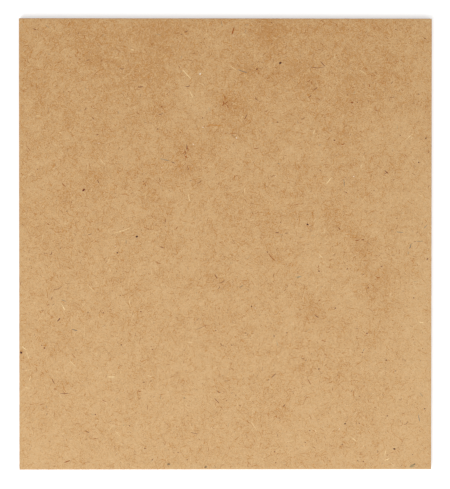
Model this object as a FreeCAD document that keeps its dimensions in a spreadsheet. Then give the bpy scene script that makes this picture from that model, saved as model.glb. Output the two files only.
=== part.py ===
"""One cut piece of raw high density fibreboard: a single pressed sheet, sawn to size.

Frame, in millimetres: the board lies flat. +X runs along its width, +Y along its
length and +Z up through its thickness. The origin is at the middle of its underside.
"""
import FreeCAD, Part
import os
import Sketcher

BOARD_SIZES = (
    ("board_width", 160.0, "between the left and right sawn edges"),
    ("board_length", 175.0, "between the near and far sawn edges"),
    ("board_thickness", 3.0, "between the two pressed faces"),
    ("arris_chamfer", 0.2, "each sharp arris, broken by one light pass of abrasive"),
)
NODE = "fibreboard_sheet"
PARTS_FOLDER = "parts"

# Sketcher's own numbers for a line's two ends, and for the sketch's origin point.
LINE_START, LINE_END = 1, 2
ORIGIN_POINT = (-1, 1)


def make_sizes(doc):
    """Writes the driving dimensions into a spreadsheet, one named cell each."""
    sheet = doc.addObject("Spreadsheet::Sheet", "Sizes")
    for row, (alias, millimetres, meaning) in enumerate(BOARD_SIZES, start=1):
        sheet.set(f"A{row}", alias)
        sheet.set(f"B{row}", str(millimetres))
        sheet.set(f"C{row}", meaning)
        sheet.setAlias(f"B{row}", alias)
    doc.recompute()
    return sheet


def origin_plane(body, role):
    """One of a body's own origin planes, such as XY_Plane."""
    return next(f for f in body.Origin.OriginFeatures if f.Role == role)


def sketch_outline(body):
    """The board's rectangle, centred on the origin, on the plane of its underside."""
    sketch = body.newObject("Sketcher::SketchObject", "BoardOutline")
    sketch.AttachmentSupport = [(origin_plane(body, "XY_Plane"), "")]
    sketch.MapMode = "FlatFace"

    rough = [FreeCAD.Vector(x, y, 0) for x, y in ((-1, -1), (1, -1), (1, 1), (-1, 1))]
    sides = [
        sketch.addGeometry(Part.LineSegment(start, end), False)
        for start, end in zip(rough, rough[1:] + rough[:1])
    ]
    near, right, far, left = sides
    for side, next_side in zip(sides, sides[1:] + sides[:1]):
        corner = Sketcher.Constraint("Coincident", side, LINE_END, next_side, LINE_START)
        sketch.addConstraint(corner)
    for side in (near, far):
        sketch.addConstraint(Sketcher.Constraint("Horizontal", side))
    for side in (right, left):
        sketch.addConstraint(Sketcher.Constraint("Vertical", side))
    centred = Sketcher.Constraint(
        "Symmetric", near, LINE_START, far, LINE_START, *ORIGIN_POINT
    )
    sketch.addConstraint(centred)

    for name, kind, side in (("width", "DistanceX", near), ("length", "DistanceY", right)):
        size = Sketcher.Constraint(kind, side, LINE_START, side, LINE_END, 2.0)
        sketch.renameConstraint(sketch.addConstraint(size), name)
        sketch.setExpression(f"Constraints.{name}", f"Sizes.board_{name}")
    return sketch


def make_board(doc):
    """The board itself: the outline at its pressed thickness, with every arris broken."""
    body = doc.addObject("PartDesign::Body", "Board")
    body.Label = NODE

    pressed = body.newObject("PartDesign::Pad", "PressedSheet")
    pressed.Profile = sketch_outline(body)
    pressed.setExpression("Length", "Sizes.board_thickness")
    doc.recompute()

    arrises = body.newObject("PartDesign::Chamfer", "BrokenArrises")
    arrises.Base = (pressed, [])
    arrises.UseAllEdges = True
    arrises.setExpression("Size", "Sizes.arris_chamfer")
    body.Tip = arrises
    doc.recompute()
    return body


def check_document(doc, bodies):
    """Stops the build if any object failed, or if a piece isn't one sound solid."""
    for obj in doc.Objects:
        if {"Invalid", "Error"} & set(obj.State):
            raise RuntimeError(f"{obj.Name} failed: {obj.State}")
    for body in bodies:
        shape = body.Shape
        if shape.isNull() or not shape.isValid() or len(shape.Solids) != 1:
            raise RuntimeError(f"{body.Label} isn't one valid solid")


def export(bodies):
    """Writes each piece to parts/NODE.step, named after its label."""
    os.makedirs(PARTS_FOLDER, exist_ok=True)
    for body in bodies:
        body.Shape.exportStep(os.path.join(PARTS_FOLDER, f"{body.Label}.step"))
        box = body.Shape.BoundBox
        print(
            f"{body.Label}: {box.XLength:.3f} x {box.YLength:.3f} x {box.ZLength:.3f} mm,"
            f" {body.Shape.Volume / 1000:.3f} cm3"
        )


def main():
    """Builds the document, checks it and exports its one piece."""
    doc = FreeCAD.newDocument("Fibreboard")
    make_sizes(doc)
    bodies = [make_board(doc)]
    doc.recompute()
    check_document(doc, bodies)
    export(bodies)


main()
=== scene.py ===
"""Looks of one cut piece of raw high density fibreboard that lies flat.

The board is a mat of steamed wood fibre, pressed hot between smooth platens and then sawn
to size. Its faces are felted from fine curly threads, with stray splinters, flecks of bark
and darker clouds where resin and bark gathered. Its edges show the sawn mat in layers.

Lengths here are in millimetres, and meshes are written in metres.
"""

import logging
import math
from dataclasses import dataclass
from enum import Enum
from itertools import product

import bpy
import numpy as np
from mathutils import Matrix, Vector


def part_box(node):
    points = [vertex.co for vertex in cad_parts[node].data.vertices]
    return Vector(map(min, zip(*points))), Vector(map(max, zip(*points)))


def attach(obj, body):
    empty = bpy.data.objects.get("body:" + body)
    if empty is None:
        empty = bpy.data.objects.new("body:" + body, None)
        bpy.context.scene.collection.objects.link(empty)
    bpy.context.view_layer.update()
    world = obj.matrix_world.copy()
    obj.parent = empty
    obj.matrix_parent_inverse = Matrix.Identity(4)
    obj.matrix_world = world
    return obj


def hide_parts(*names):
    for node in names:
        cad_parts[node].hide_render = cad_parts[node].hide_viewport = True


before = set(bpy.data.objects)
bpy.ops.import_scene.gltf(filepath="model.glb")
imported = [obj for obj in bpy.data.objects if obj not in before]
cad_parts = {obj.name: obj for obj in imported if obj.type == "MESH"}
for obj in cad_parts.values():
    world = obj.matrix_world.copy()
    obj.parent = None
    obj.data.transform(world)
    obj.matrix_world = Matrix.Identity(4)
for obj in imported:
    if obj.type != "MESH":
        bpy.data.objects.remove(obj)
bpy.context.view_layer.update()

LOG = logging.getLogger("fibreboard")
MM = 0.001
SHEET_NODE = "fibreboard_sheet"
BOARD_PIECE = "pressed_board"
BODY = "root"
# The name of the map that colours are baked through.
BAKE_MAP = "OFBake"
FULL_TURN = 2 * math.pi
# Smooth noise repeats after so many knots, and starts well inside them.
NOISE_KNOTS = 512
NOISE_START = 200.0
# Edges between faces that turn by more than this stay sharp.
SHARP_ANGLE = math.radians(60)
# How many places are tried for each thread, and how well one is liked: halfway along the
# board, how much better at its far edge, and at the least. One that is liked better than
# this share of the rest is always kept.
SPARE_TRIES = 8
USUAL_LIKING = 0.4
FAR_LIKING = 0.12
LEAST_LIKING = 0.04
ALWAYS_KEPT = 0.97
# How sizes lean towards the small end, for threads' lengths and widths and for flecks.
LENGTH_LEAN = (1.3, 3.0)
WIDTH_LEAN = (1.5, 3.0)
FLECK_LEAN = (1.1, 3.5)
# How far threads turn from end to end and how far they wander in each span, as shares of
# their spread's curl, and how much of that wandering a listed thread has.
CURL_SHARE = 0.5
WANDER = 0.13
PLACED_WANDER = 0.25
# A thread's outline: how bluntly it tapers, how its width wavers, and the least of its rise.
TAPER = 0.45
WIDTH_WAVER = (0.8, 1.15)
LEAST_LIFT = 0.45
# A fleck's outline: how far its corners stray, in shares of their spacing, their reach and
# the least of its rise.
CORNER_WAVER = 0.3
REACH_WAVER = (0.72, 1.2)
LEAST_RISE = 0.5
# The first seed of the edges' own threads.
EDGE_SEED = 61
# On the bake map a tone is a place across, and each piece is a narrow strip there.
TONE_START = 0.02
TONE_SPAN = 0.96
STRIP_HALF = 0.008
FLECK_STRIP_HALF = 0.012
CHART_REACH = 0.4

Socket = bpy.types.NodeSocket
Colour = tuple[float, float, float]
Points = np.ndarray


def linear(red: float, green: float, blue: float) -> Colour:
    """Turns a colour as a swatch gives it into the linear light that shaders work in.

    Args:
        red: The red part, from 0 to 255.
        green: The green part, from 0 to 255.
        blue: The blue part, from 0 to 255.

    Returns:
        The same colour in linear light, from 0 to 1.
    """
    parts = (c / 255 for c in (red, green, blue))
    return tuple(c / 12.92 if c <= 0.04045 else ((c + 0.055) / 1.055) ** 2.4 for c in parts)


def each(kind: type, rows: tuple[tuple[float, ...], ...]) -> tuple:
    """Makes a table's rows into objects.

    Args:
        kind: What each row describes.
        rows: The values of each one's fields, in order.

    Returns:
        One object of that kind to a row.
    """
    return tuple(kind(*row) for row in rows)


def smooth_noise(x: Points, y: Points, cell: float, seed: int) -> Points:
    """Seeded noise that changes smoothly over a plane.

    Args:
        x: Places across, in millimetres.
        y: Places along, in millimetres.
        cell: How far apart the noise's own knots lie, in millimetres.
        seed: Picks the pattern.

    Returns:
        The noise at each place, from about -1 to 1.
    """
    size = NOISE_KNOTS
    knots = np.random.default_rng(seed).uniform(-1.0, 1.0, (size, size))
    u, v = np.asarray(x) / cell + NOISE_START, np.asarray(y) / cell + NOISE_START
    i, j = np.floor(u).astype(int), np.floor(v).astype(int)
    s, t = u - i, v - j
    s, t = s * s * (3 - 2 * s), t * t * (3 - 2 * t)
    i0, j0, i1, j1 = i % size, j % size, (i + 1) % size, (j + 1) % size
    near = knots[i0, j0] * (1 - s) + knots[i1, j0] * s
    far = knots[i0, j1] * (1 - s) + knots[i1, j1] * s
    return near * (1 - t) + far * t


@dataclass(frozen=True)
class Cloud:
    """A patch of the face that is darker or paler than the mat around it.

    Attributes:
        x: Its middle, across the board.
        y: Its middle, along the board.
        reach: How far it spreads before it fades.
        depth: How dark it is; below zero it is paler than the mat.
        stretch: How many times longer it is than wide.
        heading: Which way its length points, in degrees from across the board.
    """

    x: float
    y: float
    reach: float
    depth: float
    stretch: float = 1.0
    heading: float = 0.0

    def shade(self, x: Points, y: Points) -> Points:
        """How much this cloud darkens each place.

        Args:
            x: Places across, in millimetres.
            y: Places along, in millimetres.

        Returns:
            The cloud's own share of the darkness at each place.
        """
        turn = math.radians(self.heading)
        dx, dy = x - self.x, y - self.y
        along = (dx * math.cos(turn) + dy * math.sin(turn)) / (self.reach * self.stretch)
        across = (dy * math.cos(turn) - dx * math.sin(turn)) / self.reach
        return self.depth * np.exp(-(along**2 + across**2))


# In each row: x, y, reach and depth, and where a cloud isn't round its stretch and heading.
CLOUDS = each(Cloud, (
    # Along the far edge, where the face is coloured darkest.
    (-52, 79, 9, 0.16, 1.4, -60), (-40, 67, 4, 0.08), (-25, 82, 8, 0.22), (-28, 73, 6, 0.16),
    (16, 84, 8, 0.34), (36, 84, 7, 0.10), (60, 82, 9, 0.08), (-75, 67, 6, 0.16), (0, 86, 4, 0.16),
    (-18, 79, 4, 0.10, 1.6, 0), (35, 71, 5, 0.13, 1.4, 30), (-57, 66, 4.5, 0.11), (-73, 67, 4, 0.06),
    # A broken belt of stains below them.
    (9, 67, 3.6, 0.40), (1, 55, 4.0, 0.44), (6, 52, 5.0, 0.20), (25, 68, 4.5, 0.24),
    (33, 61, 4.6, 0.36), (19, 65, 3.0, 0.20), (7, 56, 3.0, -0.06), (16, 52, 3.0, 0.16),
    (48, 54, 5.0, 0.34), (62, 68, 6.0, 0.17), (55, 62, 4.5, 0.20), (29, 66, 5.0, 0.20),
    (-4, 69, 4.0, 0.06), (6, 72, 4.0, 0.06), (-26, 52, 3.6, 0.24), (-36, 47, 5.0, 0.12),
    (-42, 65, 5.0, 0.16), (-29, 64, 6.0, 0.18), (-68, 55, 5.0, 0.10), (5, 45, 4.5, 0.14, 2.0, 4),
    (-52, 52, 4, 0.11), (-36, 53, 3.5, 0.11), (65, 54, 4, 0.12), (-76, 46, 4.5, 0.08),
    # Scattered ones over the middle.
    (34, 16, 4, 0.11, 1.9, 0), (72, 6, 5, 0.08, 1.5, 90), (70, 18, 4, 0.10),
    (-78, 22, 5, 0.08, 2.2, 90), (54, -20, 5, 0.09, 1.8, -70), (18, -34, 4, 0.11),
    (-5, -25, 3.5, 0.10), (30, -44, 3.5, 0.10), (-42, -43, 4, 0.12, 1.4, 90), (-68, -54, 5, 0.12),
    (10, -72, 4, 0.12), (-40, -8, 5, 0.08, 1.6, 90), (-16, 36, 3.4, 0.22, 1.3, 60),
    (-15, 28, 5.0, 0.16), (-50, 25, 4.4, 0.32), (-38, 34, 5.0, 0.10), (-66, 10, 7.0, 0.09, 1.6, 0),
    (-61, 20, 4.5, 0.10, 1.5, 90), (-31, 22, 4.0, 0.10, 1.6, 90), (42, 43, 5.0, 0.10),
    (17, 35, 3.0, 0.12), (78, 44, 5.0, 0.14), (63, 28, 4.0, 0.12), (-10, 30, 4.0, 0.10),
    (12, 37, 4.0, 0.08), (42, 9, 4.0, 0.16, 1.5, -50), (0, 10, 6.5, 0.12), (-30, 8, 5.0, 0.12),
    (52, 1, 4.2, 0.30, 1.8, -65), (-38, 3, 5.0, 0.13), (-78, -13, 5.0, 0.10),
    (58, -13, 6.0, 0.20, 1.5, -60), (61, -22, 6.0, 0.16), (17, -3, 6.0, 0.12), (-66, -3, 4.5, 0.14),
    (-38, -5, 3.5, 0.12, 1.5, 90), (-2, -15, 3.6, 0.20), (-10, -13, 5.0, 0.10), (34, -27, 4.2, 0.34),
    (-66, -38, 5.0, 0.10), (-28, -46, 6.0, 0.10), (-40, -61, 7.0, 0.10), (-52, -69, 6.0, 0.08),
    (7, -81, 7.0, 0.10), (57, -36, 5.0, 0.10), (40, -48, 6.0, 0.08), (28, -54, 3.5, 0.10),
    (17, -62, 6.0, 0.12), (42, -64, 4.0, 0.10), (-50, -77, 5.0, 0.10), (-14, -75, 5.5, 0.08),
    (45, -78, 5.0, 0.08),
    # Pale windows between them.
    (-12, 54, 7.0, -0.16), (-16, 66, 4.0, -0.20), (-75, 42, 7.0, -0.08), (70, 43, 5.0, -0.18),
    (27, 37, 4.0, -0.08), (58, 16, 7.0, -0.12), (34, -10, 6.0, -0.08), (-15, 5, 5.0, -0.08),
    (-45, -52, 9.0, -0.06), (33, -66, 4.0, -0.10), (-72, -80, 8.0, -0.10),
    (79, -22, 15.0, -0.20, 1.8, 90), (78, -66, 13.0, -0.12, 1.6, 90), (76, 20, 12.0, -0.14, 1.6, 90),
    (65, 48, 6.0, -0.16, 1.6, 10), (39, 62, 3.6, -0.20), (24, 47, 4.0, -0.10), (-48, 74, 5.0, -0.05),
    (6, 85, 4.0, -0.12), (-6, 18, 5.0, -0.12), (22, 12, 6.0, -0.09), (37, 24, 4.5, -0.10),
    (-27, -20, 5.5, -0.17), (-46, -15, 6.0, -0.12), (19, -28, 4.5, -0.12), (45, -16, 4.5, -0.08),
    (-54, -46, 7.0, -0.06), (1, -55, 4.0, -0.06), (59, 2, 3.5, -0.10), (58, 12, 3.8, -0.11, 1.8, 80),
    (58, 33, 3.5, -0.08, 1.6, 90), (62, 63, 3.5, -0.09), (39, 61, 3.5, -0.10, 1.4, 90),
    (43, -17, 4, -0.10), (77, -46, 4.5, -0.14, 1.5, 90), (62, -57, 3.5, -0.11),
    (65, -76, 6, -0.11, 1.4, 60), (8, -65, 3, -0.09, 1.8, 90), (-10, -66, 3.5, -0.11),
    (34, -58, 3.5, -0.10), (44, -36, 3.5, -0.11), (-29, -25, 3.2, -0.10, 1.6, 60),
    (-23, 34, 3.8, -0.08, 1.6, 90), (-36, 42, 3.5, -0.09, 1.5, 0), (12, 18, 4, -0.08),
    (-12, 14, 3.5, -0.08), (18, 41, 3.2, -0.11), (-33, 71, 4, -0.09), (-19, 56, 3.2, -0.08),
    (9, 53, 3, -0.09), (-57, 5, 4, -0.07), (78, -20, 3.5, -0.12, 1.5, 90), (77, 86, 4, -0.14),
    (-7, 9, 3.2, -0.07),
))


@dataclass(frozen=True)
class FibreMat:
    """How the pressed mat varies over its two faces.

    Attributes:
        half_length: Half of the board's length.
        middle: How dark the mat is halfway along.
        lean: How much darker the face's colour is at its far edge than halfway along.
        drifts: The mat's own unevenness, as knot spacing and depth.
        waves: The face's unevenness in height, as knot spacing and depth.
        upper_seed: Picks the drifts of the face that shows.
        under_seed: Picks those of the underside.
        wave_seed: Picks the waves.
    """

    half_length: float
    middle: float = 0.36
    lean: float = 0.165
    drifts: tuple[tuple[float, float], ...] = ((14.0, 0.03), (6.0, 0.115), (2.8, 0.14))
    waves: tuple[tuple[float, float], ...] = ((9.0, 0.004), (3.0, 0.003))
    upper_seed: int = 11
    under_seed: int = 51
    wave_seed: int = 71

    def darkness(self, x: Points, y: Points, upper: bool) -> Points:
        """How dark the face is coloured at each place.

        Args:
            x: Places across, in millimetres.
            y: Places along, in millimetres.
            upper: True for the face that shows, False for the underside.

        Returns:
            From 0, the palest straw, to 1, the brownest.
        """
        # The colour darkens evenly from the near edge to the far edge, besides the clouds and drifts.
        shade = self.middle + self.lean * y / self.half_length + self.unevenness(x, y, upper)
        return np.clip(shade, 0.0, 1.0)

    def unevenness(self, x: Points, y: Points, upper: bool) -> Points:
        """How much darker than its surroundings the mat is at each place.

        Args:
            x: Places across, in millimetres.
            y: Places along, in millimetres.
            upper: True for the face that shows, False for the underside.

        Returns:
            The share of the darkness that clouds and drifts of fibre bring.
        """
        seed = self.upper_seed if upper else self.under_seed
        shade = sum(
            depth * smooth_noise(x, y, cell, seed + number)
            for number, (cell, depth) in enumerate(self.drifts)
        )
        if upper:
            shade = shade + sum(cloud.shade(x, y) for cloud in CLOUDS)
        return shade

    def relief(self, x: Points, y: Points) -> Points:
        """How far the face stands above or below its mean plane.

        Args:
            x: Places across, in millimetres.
            y: Places along, in millimetres.

        Returns:
            The height at each place, in millimetres.
        """
        return sum(
            depth * smooth_noise(x, y, cell, self.wave_seed + number)
            for number, (cell, depth) in enumerate(self.waves)
        )


class Graph:
    """A material's node tree, with one short call for each sort of node used here."""

    def __init__(self, name: str) -> None:
        """Starts a material with an empty tree.

        Args:
            name: The material's name.
        """
        self.material = bpy.data.materials.new(name)
        self.material.use_nodes = True
        self.tree = self.material.node_tree
        self.tree.nodes.clear()

    def node(self, kind: str, **settings: object) -> bpy.types.Node:
        """Adds a node.

        Args:
            kind: The node's type, without its ShaderNode prefix.
            **settings: Values for the node's own properties.

        Returns:
            The new node.
        """
        made = self.tree.nodes.new("ShaderNode" + kind)
        for name, value in settings.items():
            setattr(made, name, value)
        return made

    def feed(self, socket: Socket, value: object) -> None:
        """Links a socket into an input, or writes a plain value there.

        Args:
            socket: The input.
            value: The socket or plain value, or None to leave the input as it is.
        """
        if isinstance(value, bpy.types.NodeSocket):
            self.tree.links.new(value, socket)
        elif value is not None:
            socket.default_value = value

    def maths(self, operation: str, a: object, b: object = None) -> Socket:
        """One sum on numbers.

        Args:
            operation: The sum's name, such as MULTIPLY.
            a: The first number or socket.
            b: The second one, where the sum has two.

        Returns:
            The result's socket.
        """
        made = self.node("Math", operation=operation)
        self.feed(made.inputs[0], a)
        self.feed(made.inputs[1], b)
        return made.outputs[0]

    def times(self, a: object, b: object) -> Socket:
        """One number times another."""
        return self.maths("MULTIPLY", a, b)

    def minus(self, a: object, b: object) -> Socket:
        """One number less another."""
        return self.maths("SUBTRACT", a, b)

    def unsigned(self, a: object) -> Socket:
        """A number without its sign."""
        return self.maths("ABSOLUTE", a)

    def total(self, *terms: object) -> Socket:
        """Adds numbers up.

        Args:
            *terms: The numbers or sockets, two or more.

        Returns:
            Their sum's socket.
        """
        result = terms[0]
        for term in terms[1:]:
            result = self.maths("ADD", result, term)
        return result

    def remap(self, value: object, low: float, high: float, to_low: float = 0.0,
              to_high: float = 1.0) -> Socket:
        """Eases a value from one range to another.

        Args:
            value: The number or socket to read.
            low: The value that gives to_low.
            high: The value that gives to_high.
            to_low: The result at low.
            to_high: The result at high.

        Returns:
            The result's socket, held between the two ends.
        """
        made = self.node("MapRange", interpolation_type="SMOOTHSTEP")
        for name, number in (
            ("Value", value), ("From Min", low), ("From Max", high),
            ("To Min", to_low), ("To Max", to_high),
        ):
            self.feed(made.inputs[name], number)
        return made.outputs["Result"]

    def vector(self, x: object, y: object = 0.0, z: object = 0.0) -> Socket:
        """A vector from its three parts.

        Args:
            x: The first part, as a number or socket.
            y: The second one.
            z: The third one.

        Returns:
            The vector's socket.
        """
        made = self.node("CombineXYZ")
        for socket, value in zip(made.inputs, (x, y, z)):
            self.feed(socket, value)
        return made.outputs[0]

    def parts(self, vector: Socket) -> tuple[Socket, Socket, Socket]:
        """A vector's three parts.

        Args:
            vector: The vector's socket.

        Returns:
            The sockets of its parts.
        """
        made = self.node("SeparateXYZ")
        self.feed(made.inputs[0], vector)
        return tuple(made.outputs)

    def place(self) -> tuple[Socket, Socket, Socket]:
        """Where on the board a point lies.

        Returns:
            The sockets of its three parts, in millimetres.
        """
        scaled = self.node("VectorMath", operation="SCALE")
        self.feed(scaled.inputs[0], self.node("TexCoord").outputs["Object"])
        scaled.inputs["Scale"].default_value = 1 / MM
        return self.parts(scaled.outputs[0])

    def attribute(self, name: str) -> Socket:
        """A number that the mesh holds at each point."""
        return self.node("Attribute", attribute_name=name).outputs["Fac"]

    def noise(self, vector: Socket, scale: float, detail: float, roughness: float,
              distortion: float = 0.0) -> Socket:
        """Cloudy noise, mostly from about 0.2 to 0.8.

        Args:
            vector: The places to read it at.
            scale: How many of its knots there are to the millimetre.
            detail: How many finer layers lie over it.
            roughness: How strong the finer layers are.
            distortion: How strongly it is warped.

        Returns:
            The noise's socket.
        """
        made = self.node("TexNoise", noise_dimensions="3D")
        for name, number in (
            ("Vector", vector), ("Scale", scale), ("Detail", detail),
            ("Roughness", roughness), ("Distortion", distortion),
        ):
            self.feed(made.inputs[name], number)
        return made.outputs["Fac"]

    def mix(self, factor: object, a: object, b: object) -> Socket:
        """Mixes two colours.

        Args:
            factor: How much of b shows.
            a: The first colour or socket.
            b: The second one.

        Returns:
            The mixed colour's socket.
        """
        made = self.node("Mix", data_type="RGBA")
        self.feed(made.inputs[0], factor)
        for socket, value in ((made.inputs[6], a), (made.inputs[7], b)):
            self.feed(socket, (*value, 1.0) if isinstance(value, tuple) else value)
        return made.outputs[2]

    def ramp(self, factor: Socket, stops: tuple[tuple[float, Colour], ...]) -> Socket:
        """Reads a colour off a scale.

        Args:
            factor: Where on the scale to read.
            stops: Places on the scale with their colours, in order.

        Returns:
            The colour's socket.
        """
        made = self.node("ValToRGB")
        points = made.color_ramp.elements
        while len(points) < len(stops):
            points.new(0.5)
        for point, (position, colour) in zip(points, stops):
            point.position = position
            point.color = (*colour, 1.0)
        self.feed(made.inputs[0], factor)
        return made.outputs[0]

    def finish(self, colour: object, roughness: object, height: Socket | None = None,
               specular: float = 0.5) -> bpy.types.Material:
        """Ends the tree in one plain surface.

        Args:
            colour: The surface's colour or socket.
            roughness: Its roughness or socket.
            height: Its fine relief in millimetres, where it has one.
            specular: How much it shines.

        Returns:
            The finished material.
        """
        surface = self.node("BsdfPrincipled")
        self.feed(surface.inputs["Base Color"], colour)
        self.feed(surface.inputs["Roughness"], roughness)
        surface.inputs["Specular IOR Level"].default_value = specular
        if height is not None:
            bump = self.node("Bump")
            bump.inputs["Strength"].default_value = 1.0
            bump.inputs["Distance"].default_value = MM
            self.feed(bump.inputs["Height"], height)
            self.feed(surface.inputs["Normal"], bump.outputs[0])
        self.feed(self.node("OutputMaterial").inputs["Surface"], surface.outputs[0])
        return self.material


@dataclass(frozen=True)
class Unevenness:
    """Cloudy noise that makes a finish darker in places and paler in others.

    Attributes:
        scale: How many of its knots there are to the millimetre.
        detail: How many finer layers lie over it.
        roughness: How strong the finer layers are.
        depth: How far it moves the shade either way.
        middle: How far it moves the shade where the noise is halfway.
        span: How far from halfway the noise has to be for its whole depth.
        distortion: How strongly it is warped.
    """

    scale: float
    detail: float
    roughness: float
    depth: float
    middle: float = 0.0
    span: float = 0.2
    distortion: float = 0.0

    def noise(self, graph: Graph, spot: Socket) -> Socket:
        """The bare noise at each spot."""
        return graph.noise(spot, self.scale, self.detail, self.roughness, self.distortion)

    def shade(self, graph: Graph, noise: Socket) -> Socket:
        """How far the shade moves.

        Args:
            graph: The material's tree.
            noise: The bare noise.

        Returns:
            A socket from middle - depth, where the noise is low, to middle + depth.
        """
        ends = (self.middle - self.depth, self.middle + self.depth)
        return graph.remap(noise, 0.5 - self.span, 0.5 + self.span, *ends)


@dataclass(frozen=True)
class StrokeLayer:
    """One layer of short bent strokes, a stroke to each cell of an uneven grid.

    Attributes:
        cell: How far apart the strokes lie.
        length: A stroke's half length.
        width: A stroke's half width.
        bend: How strongly the strokes curve.
        share: What share of the cells hold one.
        shift: Moves the layer's grid, so that no two layers match.
        lengthwise_shift: How much of that goes along the board, for each part across it.
        soft_side: Where a stroke is full and where it is gone, in shares of its half width.
        soft_end: Where it starts to fade towards its end, as a share of its half length.
        faint: What share of the cells hold a faint stroke.
    """

    cell: float
    length: float
    width: float
    bend: float
    share: float
    shift: float
    lengthwise_shift: float = 0.7
    soft_side: tuple[float, float] = (0.5, 1.5)
    soft_end: float = 0.6
    faint: float = 0.1

    def draw(self, graph: Graph, x: Socket, y: Socket) -> Socket:
        """Draws the layer.

        Args:
            graph: The material's tree.
            x: Places across, in millimetres.
            y: Places along, in millimetres.

        Returns:
            A socket that is 1 on a stroke and 0 off it.
        """
        cells = graph.node("TexVoronoi", voronoi_dimensions="2D", feature="F1")
        shifted_y = graph.total(y, self.shift * self.lengthwise_shift)
        spot = graph.vector(graph.total(x, self.shift), shifted_y)
        graph.feed(cells.inputs["Vector"], spot)
        cells.inputs["Scale"].default_value = 1 / self.cell
        away = graph.node("VectorMath", operation="SUBTRACT")
        graph.feed(away.inputs[0], spot)
        graph.feed(away.inputs[1], cells.outputs["Position"])
        dx, dy, _ = graph.parts(away.outputs[0])
        turn_by, bend_by, lot = graph.parts(cells.outputs["Color"])
        turn = graph.times(turn_by, FULL_TURN)
        cosine, sine = graph.maths("COSINE", turn), graph.maths("SINE", turn)
        along = graph.total(graph.times(dx, cosine), graph.times(dy, sine))
        across = graph.minus(graph.times(dy, cosine), graph.times(dx, sine))
        curve = graph.times(graph.minus(bend_by, 0.5), 2 * self.bend)
        bow = graph.times(graph.times(along, along), curve)
        off = graph.unsigned(graph.minus(across, bow))
        full, gone = (self.width * part for part in self.soft_side)
        side = graph.remap(off, gone, full)
        end = graph.remap(graph.unsigned(along), self.length, self.length * self.soft_end)
        held = graph.remap(lot, 1 - self.share, 1 - self.share + self.faint)
        return graph.times(graph.times(side, end), held)


@dataclass(frozen=True)
class PressedFaceFinish:
    """The smooth face that the platen pressed: felted straw and brown, with soft strokes.

    Attributes:
        scale: The mat's colours from palest to brownest.
        dark_stroke: The colour of the brown strokes under the loose threads.
        pale_stroke: The colour of the straw strokes.
        dark_layers: The brown strokes' layers, each with its strength.
        pale_layers: The straw strokes' layers, each with its strength.
        stroke_where_dark: The darkness at which brown strokes are strongest, and how many
            times their usual strength they have where the mat is palest and there.
        grey_tint: The tint of the greyer tufts of fibre.
        grey_share: How much of it the greyest take.
        rust_tint: The tint of the redder ones.
        rust_share: How much of it the reddest take.
        grain: The finest unevenness.
        tufts: The unevenness from one tuft of fibre to the next.
        tints: Where the tints lie, grey where it is low and rusty where it is high.
        tint_level: How far through the noise the tints are cut, away from the grain.
        relief: How far the grain and the strokes stand off the face.
        roughness: The face's roughness where it is palest and brownest.
        under_shift: How far the pattern moves sideways for each millimetre down.
    """

    scale: tuple[tuple[float, Colour], ...] = (
        (0.0, linear(221, 183, 134)),
        (0.36, linear(211, 171, 121)),
        (1.0, linear(190, 140, 86)),
    )
    dark_stroke: Colour = linear(184, 114, 14)
    pale_stroke: Colour = linear(228, 197, 148)
    dark_layers: tuple[tuple[StrokeLayer, float], ...] = (
        (StrokeLayer(0.9, 0.40, 0.10, 0.5, 0.55, 3.1), 0.34),
        (StrokeLayer(1.5, 0.80, 0.10, 0.4, 0.40, 17.3), 0.34),
        (StrokeLayer(3.4, 1.90, 0.11, 0.3, 0.50, 41.7), 0.46),
    )
    pale_layers: tuple[tuple[StrokeLayer, float], ...] = (
        (StrokeLayer(1.1, 0.50, 0.10, 0.5, 0.50, 63.9), 0.34),
        (StrokeLayer(2.4, 1.20, 0.11, 0.3, 0.40, 88.1), 0.44),
    )
    stroke_where_dark: tuple[float, float, float] = (0.9, 0.85, 1.3)
    grey_tint: Colour = linear(199, 166, 126)
    grey_share: float = 0.35
    rust_tint: Colour = linear(211, 156, 90)
    rust_share: float = 0.40
    grain: Unevenness = Unevenness(3.4, 3.0, 0.8, 0.80, span=0.22)
    tufts: Unevenness = Unevenness(0.45, 4.0, 0.62, 0.18, span=0.25, distortion=0.6)
    tints: Unevenness = Unevenness(1.9, 2.0, 0.7, 0.0)
    tint_level: float = 7.0
    relief: float = 0.002
    roughness: tuple[float, float] = (0.66, 0.52)
    under_shift: float = 23.0

    def make(self) -> bpy.types.Material:
        """Builds the finish.

        Returns:
            The finished material.
        """
        graph = Graph("pressed_face")
        x, y, z = graph.place()
        # The two faces share one material, so the height moves the underside's pattern away.
        x = graph.total(x, graph.times(z, self.under_shift))
        spot = graph.vector(x, y)
        dark = graph.attribute("darkness")
        grain = self.grain.noise(graph, spot)
        tufts = self.tufts.noise(graph, spot)
        shade = graph.total(dark, self.grain.shade(graph, grain), self.tufts.shade(graph, tufts))
        colour = graph.ramp(shade, self.scale)
        tint = self.tints.noise(graph, graph.vector(y, x, self.tint_level))
        low, high = 0.5 - self.tints.span, 0.5 + self.tints.span
        colour = graph.mix(graph.remap(tint, 0.5, low, 0.0, self.grey_share), colour, self.grey_tint)
        colour = graph.mix(graph.remap(tint, 0.5, high, 0.0, self.rust_share), colour, self.rust_tint)
        height = graph.times(grain, self.relief)
        full, least, most = self.stroke_where_dark
        for layer, strength in self.dark_layers:
            stroke = layer.draw(graph, x, y)
            force = graph.remap(dark, 0.0, full, strength * least, strength * most)
            colour = graph.mix(graph.times(stroke, force), colour, self.dark_stroke)
            height = graph.total(height, graph.times(stroke, self.relief))
        for layer, strength in self.pale_layers:
            stroke = layer.draw(graph, x, y)
            colour = graph.mix(graph.times(stroke, strength), colour, self.pale_stroke)
            height = graph.total(height, graph.times(stroke, self.relief))
        roughness = graph.remap(shade, 0.0, 1.0, *self.roughness)
        return graph.finish(colour, roughness, height, specular=0.2)


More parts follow.
